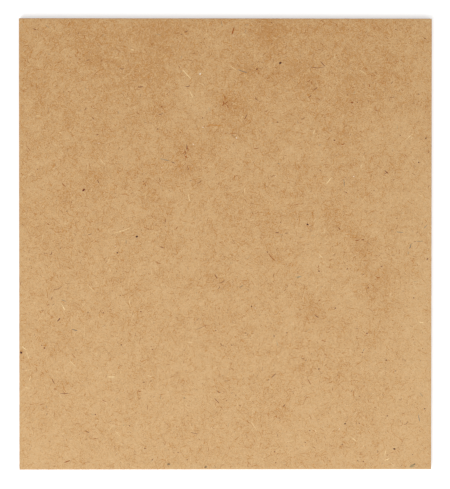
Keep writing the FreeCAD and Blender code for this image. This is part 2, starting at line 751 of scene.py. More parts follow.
@dataclass(frozen=True)
class SawnEdgeFinish:
    """The sawn edge: fibre layers cut across, denser towards both faces, with saw marks.

    Attributes:
        half_thickness: Half of the board's thickness.
        scale: The cut mat's colours from palest to brownest.
        skin: The colour of the hard dense layer under each face.
        skin_share: How much of that colour it takes.
        skin_depth: How deep that layer goes.
        skin_solid: How deep it is at its strongest.
        layers: The layers of fibre, cut across.
        layer_squash: How many times shorter a layer is along the edge and up it.
        marks: The marks of the saw's teeth.
        mark_lean: How far a mark leans along the edge for each millimetre up.
        mark_change: How much it changes as it rises.
        torn: The torn ends of single fibres.
        drift: The slow change from one end of the edge to the other.
        relief: How far the marks, the layers and the torn ends stand off the edge.
        roughness: The edge's roughness where it is least and most torn.
    """

    half_thickness: float
    scale: tuple[tuple[float, Colour], ...] = (
        (0.0, linear(206, 168, 122)),
        (0.5, linear(181, 139, 94)),
        (1.0, linear(138, 97, 60)),
    )
    skin: Colour = linear(134, 93, 58)
    skin_share: float = 0.45
    skin_depth: float = 0.42
    skin_solid: float = 0.12
    layers: Unevenness = Unevenness(1.0, 4.0, 0.7, 0.30, middle=0.42, span=0.25)
    layer_squash: tuple[float, float] = (0.35, 5.5)
    marks: Unevenness = Unevenness(1 / 0.7, 3.0, 0.7, 0.16)
    mark_lean: float = 0.12
    mark_change: float = 0.06
    torn: Unevenness = Unevenness(3.2, 3.0, 0.7, 0.12)
    drift: Unevenness = Unevenness(0.07, 2.0, 0.5, 0.10)
    relief: tuple[float, float, float] = (0.05, 0.03, 0.02)
    roughness: tuple[float, float] = (0.78, 0.92)

    def make(self) -> bpy.types.Material:
        """Builds the finish.

        Returns:
            The finished material.
        """
        graph = Graph("sawn_edge")
        x, y, z = graph.place()
        way = graph.total(x, y)
        squash_way, squash_z = self.layer_squash
        leaning = graph.total(way, graph.times(z, self.mark_lean))
        kinds = (self.marks, self.layers, self.torn, self.drift)
        spots = (
            graph.vector(leaning, 0.0, graph.times(z, self.mark_change)),
            graph.vector(graph.times(way, squash_way), 0.0, graph.times(z, squash_z)),
            graph.vector(way, 0.0, z),
            graph.vector(way),
        )
        noises = [kind.noise(graph, spot) for kind, spot in zip(kinds, spots)]
        shade = graph.total(*(kind.shade(graph, noise) for kind, noise in zip(kinds, noises)))
        colour = graph.ramp(shade, self.scale)
        middle = graph.unsigned(graph.minus(z, self.half_thickness))
        deep, solid = (self.half_thickness - depth for depth in (self.skin_depth, self.skin_solid))
        skin = graph.times(graph.remap(middle, deep, solid), self.skin_share)
        colour = graph.mix(skin, colour, self.skin)
        height = graph.total(*(graph.times(*pair) for pair in zip(noises, self.relief)))
        low, high = 0.5 - self.torn.span, 0.5 + self.torn.span
        roughness = graph.remap(noises[2], low, high, *self.roughness)
        return graph.finish(colour, roughness, height, specular=0.2)


@dataclass(frozen=True)
class ThreadFinish:
    """The finish of loose threads or flecks, which vary from one to the next.

    Attributes:
        name: The material's name.
        scale: The threads' colours, from tone 0 to tone 1.
        tip: The colour that a thread fades to at its two ends.
        fade: How much of that colour the ends take.
        roughness: The roughness at tone 0 and at tone 1.
        streak: How the shade changes along each thread.
        streak_steps: How fast it changes from tone to tone, and along a thread.
        body: How much of a thread from its middle each way doesn't fade.
    """

    name: str
    scale: tuple[tuple[float, Colour], ...]
    tip: Colour = linear(203, 163, 115)
    fade: float = 0.5
    roughness: tuple[float, float] = (0.6, 0.75)
    streak: Unevenness = Unevenness(1.0, 2.0, 0.6, 0.12)
    streak_steps: tuple[float, float] = (60.0, 3.0)
    body: float = 0.2

    def make(self) -> bpy.types.Material:
        """Builds the finish.

        Returns:
            The finished material.
        """
        graph = Graph(self.name)
        tone, along = graph.attribute("tone"), graph.attribute("along")
        steps = zip((tone, along), self.streak_steps)
        spot = graph.vector(*(graph.times(*pair) for pair in steps))
        streak = self.streak.noise(graph, spot)
        colour = graph.ramp(graph.total(tone, self.streak.shade(graph, streak)), self.scale)
        reach = graph.unsigned(graph.minus(along, 0.5))
        colour = graph.mix(graph.remap(reach, self.body, 0.5, 0.0, self.fade), colour, self.tip)
        return graph.finish(colour, graph.remap(tone, 0.0, 1.0, *self.roughness), specular=0.15)


class Side(Enum):
    """A flat side of the board, by its own two directions and the way that it looks."""

    UPPER = ((1, 0, 0), (0, 1, 0), (0, 0, 1))
    UNDER = ((1, 0, 0), (0, -1, 0), (0, 0, -1))
    NEAR = ((1, 0, 0), (0, 0, 1), (0, -1, 0))
    RIGHT = ((0, 1, 0), (0, 0, 1), (1, 0, 0))
    FAR = ((-1, 0, 0), (0, 0, 1), (0, 1, 0))
    LEFT = ((0, -1, 0), (0, 0, 1), (-1, 0, 0))

    @property
    def pressed(self) -> bool:
        """Whether the platen pressed this side, so that it isn't a sawn edge."""
        return self in (Side.UPPER, Side.UNDER)


@dataclass(frozen=True)
class Face:
    """A flat side of the board that pieces are laid on.

    Attributes:
        middle: Its middle, in millimetres.
        across: The unit vector along its own first direction.
        along: The unit vector along its own second direction.
        out: The unit vector that points off it.
        half_across: Half of its extent in the first direction.
        half_along: Half of its extent in the second direction.
        mat: The mat's unevenness, where the face is a pressed one.
    """

    middle: Vector
    across: Vector
    along: Vector
    out: Vector
    half_across: float
    half_along: float
    mat: FibreMat | None = None

    def lay(self, u: Points, v: Points, height: Points) -> Points:
        """Places points on the face.

        Args:
            u: Places in the first direction, in millimetres.
            v: Places in the second direction, in millimetres.
            height: How far off the face, in millimetres.

        Returns:
            The points in the row frame, in metres, one to a row.
        """
        if self.mat is not None:
            height = height + self.mat.relief(u, v)
        flat = [np.ravel(part)[:, None] for part in (u, v, height)]
        axes = (self.across, self.along, self.out)
        spread = sum(part * np.array(axis) for part, axis in zip(flat, axes))
        return (spread + np.array(self.middle)) * MM


@dataclass(frozen=True)
class MeshParts:
    """The plain numbers that a joined mesh is made from.

    Attributes:
        points: The points, in metres, one to a row.
        loops: Every face's corners, one face after another.
        sizes: How many corners each face has.
        tone: Each point's place on its finish's scale.
        along: How far along its own thread each point lies.
        bake_u: Where across its map each point is baked.
    """

    points: Points
    loops: Points
    sizes: Points
    tone: Points
    along: Points
    bake_u: Points

    def build(self, name: str, finish: bpy.types.Material) -> bpy.types.Object:
        """Makes the object that holds this mesh.

        Args:
            name: The piece's name.
            finish: Its material.

        Returns:
            The new object, riding on the board's body.
        """
        mesh = bpy.data.meshes.new(name)
        mesh.vertices.add(len(self.points))
        mesh.vertices.foreach_set("co", self.points.astype(np.float32).ravel())
        mesh.loops.add(len(self.loops))
        mesh.loops.foreach_set("vertex_index", self.loops.astype(np.int32))
        starts = np.concatenate(([0], np.cumsum(self.sizes)[:-1]))
        mesh.polygons.add(len(self.sizes))
        mesh.polygons.foreach_set("loop_start", starts.astype(np.int32))
        mesh.update(calc_edges=True)
        for label, values in (("tone", self.tone), ("along", self.along)):
            held = mesh.attributes.new(label, "FLOAT", "POINT")
            held.data.foreach_set("value", values.astype(np.float32))
        chart = mesh.uv_layers.new(name=BAKE_MAP)
        spots = np.stack((self.bake_u, self.along), 1)[self.loops]
        chart.data.foreach_set("uv", spots.astype(np.float32).ravel())
        mesh.polygons.foreach_set("use_smooth", np.ones(len(self.sizes), bool))
        mesh.set_sharp_from_angle(angle=SHARP_ANGLE)
        mesh.materials.append(finish)
        return mounted(name, mesh)


def mounted(name: str, mesh: bpy.types.Mesh) -> bpy.types.Object:
    """Puts a mesh in the scene as a piece of the board.

    Args:
        name: The piece's name.
        mesh: Its mesh, in place in the row frame.

    Returns:
        The new object, riding on the board's body.
    """
    piece = bpy.data.objects.new(name, mesh)
    bpy.context.scene.collection.objects.link(piece)
    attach(piece, BODY)
    return piece


@dataclass(frozen=True)
class Strand:
    """One listed thread, where a single one stands out.

    Attributes:
        u: Its middle, in the face's first direction.
        v: Its middle, in the face's second direction.
        length: Its length.
        width: Its width.
        heading: Which way it points, in degrees.
        curl: How far it turns from end to end, in degrees.
        tone: Its place on its finish's scale.
    """

    u: float
    v: float
    length: float
    width: float
    heading: float
    curl: float
    tone: float

    def row(self) -> tuple[float, ...]:
        """Its measures in order, with its angles in radians."""
        turns = (math.radians(self.heading), math.radians(self.curl))
        return self.u, self.v, self.length, self.width, *turns, self.tone


@dataclass(frozen=True)
class Fleck:
    """One listed fleck, where a single one stands out.

    Attributes:
        u: Its middle, in the face's first direction.
        v: Its middle, in the face's second direction.
        size: Its mean width.
        stretch: How many times longer it is than wide.
        heading: Which way its length points, in degrees.
        tone: Its place on its finish's scale.
    """

    u: float
    v: float
    size: float
    stretch: float
    heading: float
    tone: float

    def row(self) -> tuple[float, ...]:
        """Its measures in order, with its angle in radians."""
        return self.u, self.v, self.size, self.stretch, math.radians(self.heading), self.tone


def drawn_sizes(rng: np.random.Generator, limits: tuple[float, float],
                lean: tuple[float, float], count: int) -> Points:
    """Draws sizes by chance between two limits.

    Args:
        rng: The seeded source of chance.
        limits: The smallest and the largest size.
        lean: The two powers of the draw; a larger second one makes small sizes commoner.
        count: How many to draw.

    Returns:
        The sizes.
    """
    low, high = limits
    return low + (high - low) * rng.beta(*lean, count)


def with_placed(drawn: tuple[Points, ...], placed: tuple[Strand | Fleck, ...]) -> list[Points]:
    """Adds the ones that are listed one by one after those that are drawn by chance.

    Args:
        drawn: One array for each measure, in the order that a placed one's row has.
        placed: The ones that are listed one by one.

    Returns:
        The longer arrays, in the same order.
    """
    rows = np.array([one.row() for one in placed]).reshape(-1, len(drawn)).T
    return [np.concatenate(pair) for pair in zip(drawn, rows)]


@dataclass
class ThreadSpread:
    """Threads of one sort, strewn over a face as closed flattened strands in one mesh.

    Attributes:
        name: The piece's name.
        face: The side that they lie on.
        finish: Their finish.
        count: How many are strewn at random.
        length: The shortest and the longest usual length.
        width: The narrowest and the widest.
        curl: How far the curliest ones turn from end to end, in degrees.
        seed: Picks the scatter.
        spans: How many straight spans each is made of.
        gather: How strongly they gather where the mat is dark, from 0 up.
        rise: How far the thickest stand off the face.
        sunk: How far their undersides lie below it.
        mild: Below 1 where mild tones are commoner than strong ones.
        heading: Which way they point, in degrees, or None for every way.
        placed: The ones that are listed one by one.
    """

    name: str
    face: Face
    finish: ThreadFinish
    count: int
    length: tuple[float, float]
    width: tuple[float, float]
    curl: float
    seed: int
    spans: int = 5
    gather: float = 1.0
    rise: float = 0.007
    sunk: float = 0.003
    mild: float = 0.7
    heading: tuple[float, float] | None = None
    placed: tuple[Strand, ...] = ()

    def scatter(self, rng: np.random.Generator) -> tuple[Points, Points]:
        """Picks where the threads lie.

        Args:
            rng: The seeded source of chance.

        Returns:
            Their middles, as places in the face's two directions.
        """
        tries = self.count * SPARE_TRIES
        u = rng.uniform(-self.face.half_across, self.face.half_across, tries)
        v = rng.uniform(-self.face.half_along, self.face.half_along, tries)
        if self.face.mat is None or self.gather == 0:
            return u[: self.count], v[: self.count]
        uneven = self.face.mat.unevenness(u, v, self.face.out.z > 0)
        usual = USUAL_LIKING + FAR_LIKING * v / self.face.half_along
        liking = np.clip(usual + uneven, LEAST_LIKING, 1.0) ** self.gather
        keep = rng.uniform(0.0, np.quantile(liking, ALWAYS_KEPT), tries) < liking
        return u[keep][: self.count], v[keep][: self.count]

    def parts(self) -> MeshParts:
        """Works out every thread's line, and from it the mesh.

        Returns:
            The joined mesh's numbers.
        """
        rng = np.random.default_rng(self.seed)
        u, v = self.scatter(rng)
        strewn, m = len(u), self.spans
        length = drawn_sizes(rng, self.length, LENGTH_LEAN, strewn)
        width = drawn_sizes(rng, self.width, WIDTH_LEAN, strewn)
        low, high = self.heading or (0.0, 360.0)
        heading = np.radians(rng.uniform(low, high, strewn))
        curl = np.radians(self.curl) * rng.normal(0.0, CURL_SHARE, strewn)
        tone = rng.uniform(0.0, 1.0, strewn) ** self.mild
        drawn = (u, v, length, width, heading, curl, tone)
        u, v, length, width, heading, curl, tone = with_placed(drawn, self.placed)
        n = len(u)
        # A thread's heading turns evenly by its curl, and wanders a little on the way.
        middles = (np.arange(m) + 0.5) / m - 0.5
        wander = np.cumsum(rng.normal(0.0, math.radians(self.curl) * WANDER, (n, m)), 1)
        # One that is listed keeps nearer to the way that it was given.
        wander[strewn:] *= PLACED_WANDER
        ways = heading[:, None] + curl[:, None] * middles * 2 + wander
        step = (length / m)[:, None]
        x = np.concatenate((np.zeros((n, 1)), np.cumsum(np.cos(ways) * step, 1)), 1)
        y = np.concatenate((np.zeros((n, 1)), np.cumsum(np.sin(ways) * step, 1)), 1)
        x += (u - x.mean(1))[:, None]
        y += (v - y.mean(1))[:, None]
        # What would hang over the sawn edge is drawn back on to the face.
        for places, half in ((x, self.face.half_across), (y, self.face.half_along)):
            room = half - self.width[1]
            over = np.maximum(places.max(1) - room, 0) + np.minimum(places.min(1) + room, 0)
            places -= over[:, None]
        return self.sweep(rng, x, y, width, tone)

    def sweep(self, rng: np.random.Generator, x: Points, y: Points, width: Points,
              tone: Points) -> MeshParts:
        """Gives each thread's line its flattened section, with a ridge along its top.

        Args:
            rng: The seeded source of chance.
            x: The lines' places in the face's first direction, one thread to a row.
            y: The same in its second direction.
            width: Each thread's width.
            tone: Each thread's place on its finish's scale.

        Returns:
            The joined mesh's numbers.
        """
        n, m = x.shape[0], self.spans
        rings = m - 1
        way = np.arctan2(y[:, 2:] - y[:, :-2], x[:, 2:] - x[:, :-2])
        t = np.arange(1, m) / m
        profile = np.sin(math.pi * t) ** TAPER
        half = width[:, None] / 2 * profile * rng.uniform(*WIDTH_WAVER, (n, rings))
        lift = self.rise * rng.uniform(LEAST_LIFT, 1.0, n)[:, None] * np.sqrt(profile)
        side_x, side_y = -np.sin(way) * half, np.cos(way) * half
        px, py = x[:, 1:-1], y[:, 1:-1]
        # Each thread's points: its two tips, then left, ridge and right of each ring.
        ring_x = np.stack((px + side_x, px, px - side_x), 2).reshape(n, -1)
        ring_y = np.stack((py + side_y, py, py - side_y), 2).reshape(n, -1)
        flat = np.full_like(lift, -self.sunk)
        ring_h = np.stack((flat, lift, flat), 2).reshape(n, -1)
        us = np.concatenate((x[:, [0, -1]], ring_x), 1)
        vs = np.concatenate((y[:, [0, -1]], ring_y), 1)
        hs = np.concatenate((np.full((n, 2), -self.sunk), ring_h), 1)
        faces = self.strand_faces()
        per = 2 + 3 * rings
        loops = (np.arange(n)[:, None] * per + np.concatenate(faces)).ravel()
        along = np.concatenate(([0.0, 1.0], np.repeat(t, 3)))
        # Threads of one tone share a strip of the map, which their tone alone places.
        strip = np.concatenate(([0.0, 0.0], np.tile([-1.0, 0.0, 1.0], rings))) * STRIP_HALF
        tones = np.repeat(tone, per)
        return MeshParts(
            points=self.face.lay(us, vs, hs),
            loops=loops,
            sizes=np.tile([len(face) for face in faces], n),
            tone=tones,
            along=np.tile(along, n),
            bake_u=TONE_START + TONE_SPAN * tones + np.tile(strip, n),
        )

    def strand_faces(self) -> list[tuple[int, ...]]:
        """One thread's faces: a three-sided tube that closes in a tip at each end.

        Returns:
            Each face's points, by their numbers in one thread.
        """
        first, last = 2, 2 + 3 * (self.spans - 2)
        faces = [(0, first + 1, first), (0, first + 2, first + 1), (0, first, first + 2)]
        for a in range(first, last, 3):
            b = a + 3
            faces += [
                (a, a + 1, b + 1, b),
                (a + 1, a + 2, b + 2, b + 1),
                (a + 2, a, b, b + 2),
            ]
        faces += [(1, last, last + 1), (1, last + 1, last + 2), (1, last + 2, last)]
        return faces

    def build(self) -> bpy.types.Object:
        """Makes the piece."""
        return self.parts().build(self.name, self.finish.make())


@dataclass
class FleckSpread:
    """Small flat flecks, such as bark, pressed into a face, in one mesh.

    Attributes:
        name: The piece's name.
        face: The side that they lie on.
        finish: Their finish.
        count: How many are strewn at random.
        size: The smallest and the largest usual width.
        seed: Picks the scatter.
        corners: How many corners a fleck's outline has.
        rise: How far their middles stand off the face.
        sunk: How far their rims lie below it.
        margin: How far the strewn ones keep from the face's edges.
        most_stretch: How many times longer than wide the longest strewn ones are.
        mild: Below 1 where mild tones are commoner than strong ones.
        placed: The ones that are listed one by one.
    """

    name: str
    face: Face
    finish: ThreadFinish
    count: int
    size: tuple[float, float]
    seed: int
    corners: int = 7
    rise: float = 0.020
    sunk: float = 0.003
    margin: float = 0.6
    most_stretch: float = 2.2
    mild: float = 0.5
    placed: tuple[Fleck, ...] = ()

    def parts(self) -> MeshParts:
        """Works out every fleck's points and faces.

        Returns:
            The joined mesh's numbers.
        """
        rng = np.random.default_rng(self.seed)
        strewn, c = self.count, self.corners
        room_u, room_v = self.face.half_across - self.margin, self.face.half_along - self.margin
        u, v = rng.uniform(-room_u, room_u, strewn), rng.uniform(-room_v, room_v, strewn)
        size = drawn_sizes(rng, self.size, FLECK_LEAN, strewn)
        stretch = rng.uniform(1.0, self.most_stretch, strewn)
        heading = rng.uniform(0.0, FULL_TURN, strewn)
        tone = rng.uniform(0.0, 1.0, strewn) ** self.mild
        drawn = (u, v, size, stretch, heading, tone)
        u, v, size, stretch, heading, tone = with_placed(drawn, self.placed)
        n = len(u)
        angle = (np.arange(c) + rng.uniform(-CORNER_WAVER, CORNER_WAVER, (n, c))) / c * FULL_TURN
        reach = size[:, None] / 2 * rng.uniform(*REACH_WAVER, (n, c))
        along = np.cos(angle) * reach * np.sqrt(stretch)[:, None]
        across = np.sin(angle) * reach / np.sqrt(stretch)[:, None]
        cosine, sine = np.cos(heading)[:, None], np.sin(heading)[:, None]
        middle = np.zeros((n, 1))
        us = u[:, None] + np.concatenate((middle, along * cosine - across * sine), 1)
        vs = v[:, None] + np.concatenate((middle, along * sine + across * cosine), 1)
        hs = np.full((n, c + 1), -self.sunk)
        hs[:, 0] = self.rise * rng.uniform(LEAST_RISE, 1.0, n)
        # A fan of triangles round the middle, and one flat face under it.
        ring = range(1, c + 1)
        faces = [(0, k, k % c + 1) for k in ring] + [tuple(reversed(ring))]
        loops = (np.arange(n)[:, None] * (c + 1) + np.concatenate(faces)).ravel()
        turn = np.arange(c) / c * FULL_TURN
        place = np.concatenate(([0.5], 0.5 + CHART_REACH * np.sin(turn)))
        strip = np.concatenate(([0.0], np.cos(turn))) * FLECK_STRIP_HALF
        tones = np.repeat(tone, c + 1)
        return MeshParts(
            points=self.face.lay(us, vs, hs),
            loops=loops,
            sizes=np.tile([len(face) for face in faces], n),
            tone=tones,
            along=np.tile(place, n),
            bake_u=TONE_START + TONE_SPAN * tones + np.tile(strip, n),
        )

    def build(self) -> bpy.types.Object:
        """Makes the piece."""
        return self.parts().build(self.name, self.finish.make())


@dataclass(frozen=True)
class SawMark:
    """One sort of mark that the saw left on the edges.

    Attributes:
        cell: How far apart such marks lie along the edge.
        depth: How deep they go, either way.
        change: How much one changes as it rises.
        lean: How far it leans along the edge for each millimetre up.
        seed: Picks the pattern.
    """

    cell: float
    depth: float
    change: float
    lean: float
    seed: int

    def bite(self, way: Points, height: Points) -> Points:
        """How far such marks go in.

        Args:
            way: How far round the board each point lies.
            height: How high it lies.

        Returns:
            The depth at each point, in millimetres.
        """
        leaning = way + self.lean * height
        return self.depth * smooth_noise(leaning, height * self.change, self.cell, self.seed)


@dataclass
class PressedSheet:
    """The board itself: two pressed faces, broken arrises and four sawn edges, in one mesh.

    Attributes:
        low: The board's lowest corner, in millimetres.
        high: Its highest corner.
        mat: How its faces vary.
        cell: About how far apart the faces' own points lie.
        splits: How many spans of the edge meet one cell of the face.
        skin: How far the bare face lies inside the board's full size, under its threads.
        arris: The broken arris, as inset from the sawn edge and drop from the face.
        kerf: How far the sawn edge lies inside the full size, at its mean.
        rows: How many rows of faces the sawn edge has between its arrises.
        eased: How many bands of faces of each arris have the pressed face's finish.
        saw_marks: The sorts of marks that the saw left.
        smoothed: How much less of them a ring takes for each millimetre of its inset.
        ragged: How far the arrises wander in and out, with their knot spacing and seed.
        ragged_rings: Between which insets they do.
        settle: How far inside its rim a face has its whole relief.
        chart_sizes: On the bake map, the gaps and the heights of the upper and under faces.
    """

    low: Vector
    high: Vector
    mat: FibreMat
    cell: float = 1.25
    splits: int = 4
    skin: float = 0.040
    arris: tuple[tuple[float, float], ...] = ((0.30, 0.0), (0.16, 0.02), (0.07, 0.08), (0.02, 0.18))
    kerf: float = 0.065
    rows: int = 10
    eased: int = 2
    saw_marks: tuple[SawMark, ...] = (
        SawMark(0.9, 0.015, 0.05, 0.12, 131),
        SawMark(0.6, 0.011, 2.0, 0.0, 137),
        SawMark(11.0, 0.009, 0.0, 0.0, 139),
    )
    smoothed: float = 2.0
    ragged: tuple[float, float, int] = (0.03, 0.8, 151)
    ragged_rings: tuple[float, float] = (0.05, 0.25)
    settle: float = 2.0
    chart_sizes: tuple[float, float, float] = (0.008, 0.80, 0.27)

    def __post_init__(self) -> None:
        """Works out the counts that the faces and the edge share."""
        self.half_x = (self.high.x - self.low.x) / 2
        self.half_y = (self.high.y - self.low.y) / 2
        self.cells_x = round(2 * self.half_x / self.cell)
        self.cells_y = round(2 * self.half_y / self.cell)
        self.around = 2 * self.splits * (self.cells_x + self.cells_y)

    def face(self, side: Side) -> Face:
        """One side of the board, as a place to lay threads on.

        Args:
            side: Which side.

        Returns:
            The side's flat part, inside its arrises.
        """
        across, along, out = (Vector(axis) for axis in side.value)
        half = (self.high - self.low) / 2
        inset = self.skin if side.pressed else self.kerf
        margin = self.kerf + self.arris[0][0]
        drop = margin if side.pressed else self.skin + self.arris[-1][1]

        def reach(axis: Vector) -> float:
            """How far the board's full size reaches along an axis from its middle."""
            return half.dot(Vector(abs(part) for part in axis))

        return Face(
            middle=(self.low + self.high) / 2 + out * (reach(out) - inset),
            across=across,
            along=along,
            out=out,
            half_across=reach(across) - margin,
            half_along=reach(along) - drop,
            mat=self.mat if side.pressed else None,
        )

    def perimeter(self) -> tuple[Points, Points]:
        """The edge's points on a square from -1 to 1, anticlockwise from the near left corner.

        Returns:
            Their places across and along the square.
        """
        nx, ny = self.cells_x * self.splits, self.cells_y * self.splits
        across, along = np.arange(nx) * 2 / nx - 1, np.arange(ny) * 2 / ny - 1
        x = np.concatenate((across, np.ones(ny), -across, -np.ones(ny)))
        y = np.concatenate((-np.ones(nx), along, np.ones(nx), -along))
        return x, y

    def levels(self) -> list[tuple[float, float, float]]:
        """The rings from the upper face down to the underside.

        Returns:
            Each ring's inset from the sawn edge, its height, and how much of the saw's
            own roughness it takes.
        """
        top, bottom = self.high.z - self.skin, self.low.z + self.skin
        eased = [(inset, drop, 1.0 - inset * self.smoothed) for inset, drop in self.arris]
        upper = [(inset, top - drop, rough) for inset, drop, rough in eased]
        lower = [(inset, bottom + drop, rough) for inset, drop, rough in reversed(eased)]
        start, end = upper[-1][1], lower[0][1]
        wall = [
            (0.0, start + (end - start) * row / self.rows, 1.0) for row in range(1, self.rows)
        ]
        return upper + wall + lower

    def points(self) -> tuple[Points, int]:
        """Works out every point: the rings first, then the two faces' inner points.

        Returns:
            The points in millimetres, one to a row, and how many rings there are.
        """
        square_x, square_y = self.perimeter()
        way = np.arange(self.around) * self.cell / self.splits
        levels = self.levels()
        rows = []
        stray, stray_cell, stray_seed = self.ragged
        least, most = self.ragged_rings
        for inset, height, rough in levels:
            level = np.full_like(way, height)
            bite = self.kerf + inset + rough * sum(mark.bite(way, level) for mark in self.saw_marks)
            if least < inset < most:
                bite += stray * smooth_noise(way, way * 0, stray_cell, stray_seed)
            x = square_x * self.half_x - bite * (np.abs(square_x) == 1) * np.sign(square_x)
            y = square_y * self.half_y - bite * (np.abs(square_y) == 1) * np.sign(square_y)
            limit_x, limit_y = self.half_x - self.kerf - inset, self.half_y - self.kerf - inset
            x = np.where(np.abs(square_x) == 1, x, np.clip(x, -limit_x, limit_x))
            y = np.where(np.abs(square_y) == 1, y, np.clip(y, -limit_y, limit_y))
            rows.append(np.stack((x, y, level), 1))
        inset = self.kerf + self.arris[0][0]
        u = np.linspace(-1, 1, self.cells_x + 1)[1:-1] * (self.half_x - inset)
        v = np.linspace(-1, 1, self.cells_y + 1)[1:-1] * (self.half_y - inset)
        inner_x, inner_y = (part.ravel() for part in np.meshgrid(u, v))
        room = np.minimum(self.half_x - np.abs(inner_x), self.half_y - np.abs(inner_y))
        fade = (room / self.settle).clip(0, 1)
        for height, side in ((levels[0][1], 1), (levels[-1][1], -1)):
            relief = self.mat.relief(inner_x, inner_y * side) * fade
            rows.append(np.stack((inner_x, inner_y, height + side * relief), 1))
        return np.concatenate(rows), len(levels)

    def face_polygons(self, ring: int, inner: int, upper: bool) -> list[tuple[int, ...]]:
        """Joins one pressed face's inner points to its ring.

        Args:
            ring: The first point of the ring round the face.
            inner: The first of the face's inner points.
            upper: True where the face looks up.

        Returns:
            The face's polygons.
        """
        nx, ny, k = self.cells_x, self.cells_y, self.splits

        def on_ring(i: int, j: int) -> int | None:
            """Finds a point of the grid on the ring.

            Args:
                i: Its column.
                j: Its row.

            Returns:
                Its number along the ring, or None for an inner point.
            """
            if j == 0:
                return k * i
            if i == nx:
                return k * (nx + j)
            if j == ny:
                return k * (2 * nx + ny - i)
            return k * (2 * nx + 2 * ny - j) if i == 0 else None

        def corner(i: int, j: int) -> int:
            """The mesh's number for a point of the grid."""
            edge = on_ring(i, j)
            return inner + (j - 1) * (nx - 1) + i - 1 if edge is None else ring + edge

        polygons = []
        for j in range(ny):
            for i in range(nx):
                turns = ((i, j), (i + 1, j), (i + 1, j + 1), (i, j + 1))
                on_side = (j == 0, i + 1 == nx, j + 1 == ny, i == 0)
                cell: list[int] = []
                for (a, b), outer in zip(turns, on_side):
                    cell.append(corner(a, b))
                    if outer:
                        start = on_ring(a, b)
                        cell += [ring + (start + step) % self.around for step in range(1, k)]
                polygons.append(tuple(cell if upper else reversed(cell)))
        return polygons

    def chart(self, points: Points, rings: int, upper: list[tuple[int, ...]],
              under: list[tuple[int, ...]]) -> Points:
        """Lays the board out flat: its upper face large, then its underside and four edges.

        Args:
            points: The mesh's points, in millimetres.
            rings: How many rings there are round the board.
            upper: The upper face's polygons.
            under: The underside's polygons.

        Returns:
            Where each face's corners lie on the map, from 0 to 1.
        """
        gap, upper_height, under_height = self.chart_sizes
        edge_height = (1 - upper_height) / 4 - gap

        def flat(corners: Points, left: float, height: float) -> Points:
            """Places corners of a pressed face by where they lie on the board.

            Args:
                corners: The corners' points.
                left: Where the face starts on the map.
                height: How much of the map's height it takes.

            Returns:
                Their places on the map.
            """
            scale = height / (2 * self.half_y)
            spots = points[corners, :2] + np.array((self.half_x, self.half_y))
            return spots * scale + np.array((left, gap))

        under_left = 2 * gap + upper_height * self.half_x / self.half_y
        ring, step = (part.ravel() for part in np.meshgrid(
            np.arange(rings - 1), np.arange(self.around), indexing="ij"))
        corner_ring = ring[:, None] + np.array((0, 1, 1, 0))
        corner_step = step[:, None] + np.array((0, 0, 1, 1))
        corners = corner_ring * self.around + corner_step % self.around
        nx, ny = self.cells_x * self.splits, self.cells_y * self.splits
        starts, counts = np.array((0, nx, nx + ny, 2 * nx + ny)), np.array((nx, ny, nx, ny))
        side = np.searchsorted(starts, step, side="right") - 1
        length = counts[side][:, None] / ny
        along = (corner_step - starts[side][:, None]) / counts[side][:, None]
        up = (points[corners, 2] - self.low.z) / (self.high.z - self.low.z)
        spots = np.stack((
            gap + along * length * (1 - 2 * gap),
            upper_height + 2 * gap + side[:, None] * (edge_height + gap) + up * (edge_height - gap),
        ), 2)
        top_band, low_band = ring < self.eased, ring >= rings - 1 - self.eased
        spots[top_band] = flat(corners[top_band], gap, upper_height)
        spots[low_band] = flat(corners[low_band], under_left, under_height)
        return np.concatenate((
            spots.reshape(-1, 2),
            flat(np.concatenate(upper), gap, upper_height),
            flat(np.concatenate(under), under_left, under_height),
        ))

    def build(self) -> bpy.types.Object:
        """Makes the piece, which stands for the board's own node.

        Returns:
            The new object.
        """
        points, rings = self.points()
        around = self.around
        inner = (self.cells_x - 1) * (self.cells_y - 1)
        band = [
            (ring * around + p, (ring + 1) * around + p,
             (ring + 1) * around + (p + 1) % around, ring * around + (p + 1) % around)
            for ring in range(rings - 1)
            for p in range(around)
        ]
        upper = self.face_polygons(0, rings * around, True)
        under = self.face_polygons((rings - 1) * around, rings * around + inner, False)
        mesh = bpy.data.meshes.new(BOARD_PIECE)
        mesh.from_pydata((points * MM).tolist(), [], band + upper + under)
        mesh.materials.append(PressedFaceFinish().make())
        mesh.materials.append(SawnEdgeFinish(self.high.z / 2).make())
        cut = np.zeros(len(mesh.polygons), np.int32)
        cut[self.eased * around:(rings - 1 - self.eased) * around] = 1
        mesh.polygons.foreach_set("material_index", cut)
        mesh.polygons.foreach_set("use_smooth", np.ones(len(mesh.polygons), bool))
        dark = self.mat.darkness(points[:, 0], points[:, 1], True)
        below = points[:, 2] < self.high.z / 2
        dark[below] = self.mat.darkness(points[below, 0], -points[below, 1], False)
        held = mesh.attributes.new("darkness", "FLOAT", "POINT")
        held.data.foreach_set("value", dark.astype(np.float32))
        chart = mesh.uv_layers.new(name=BAKE_MAP)
        spots = self.chart(points, rings, upper, under)
        chart.data.foreach_set("uv", spots.astype(np.float32).ravel())
        piece = mounted(BOARD_PIECE, mesh)
        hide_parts(SHEET_NODE)
        return piece


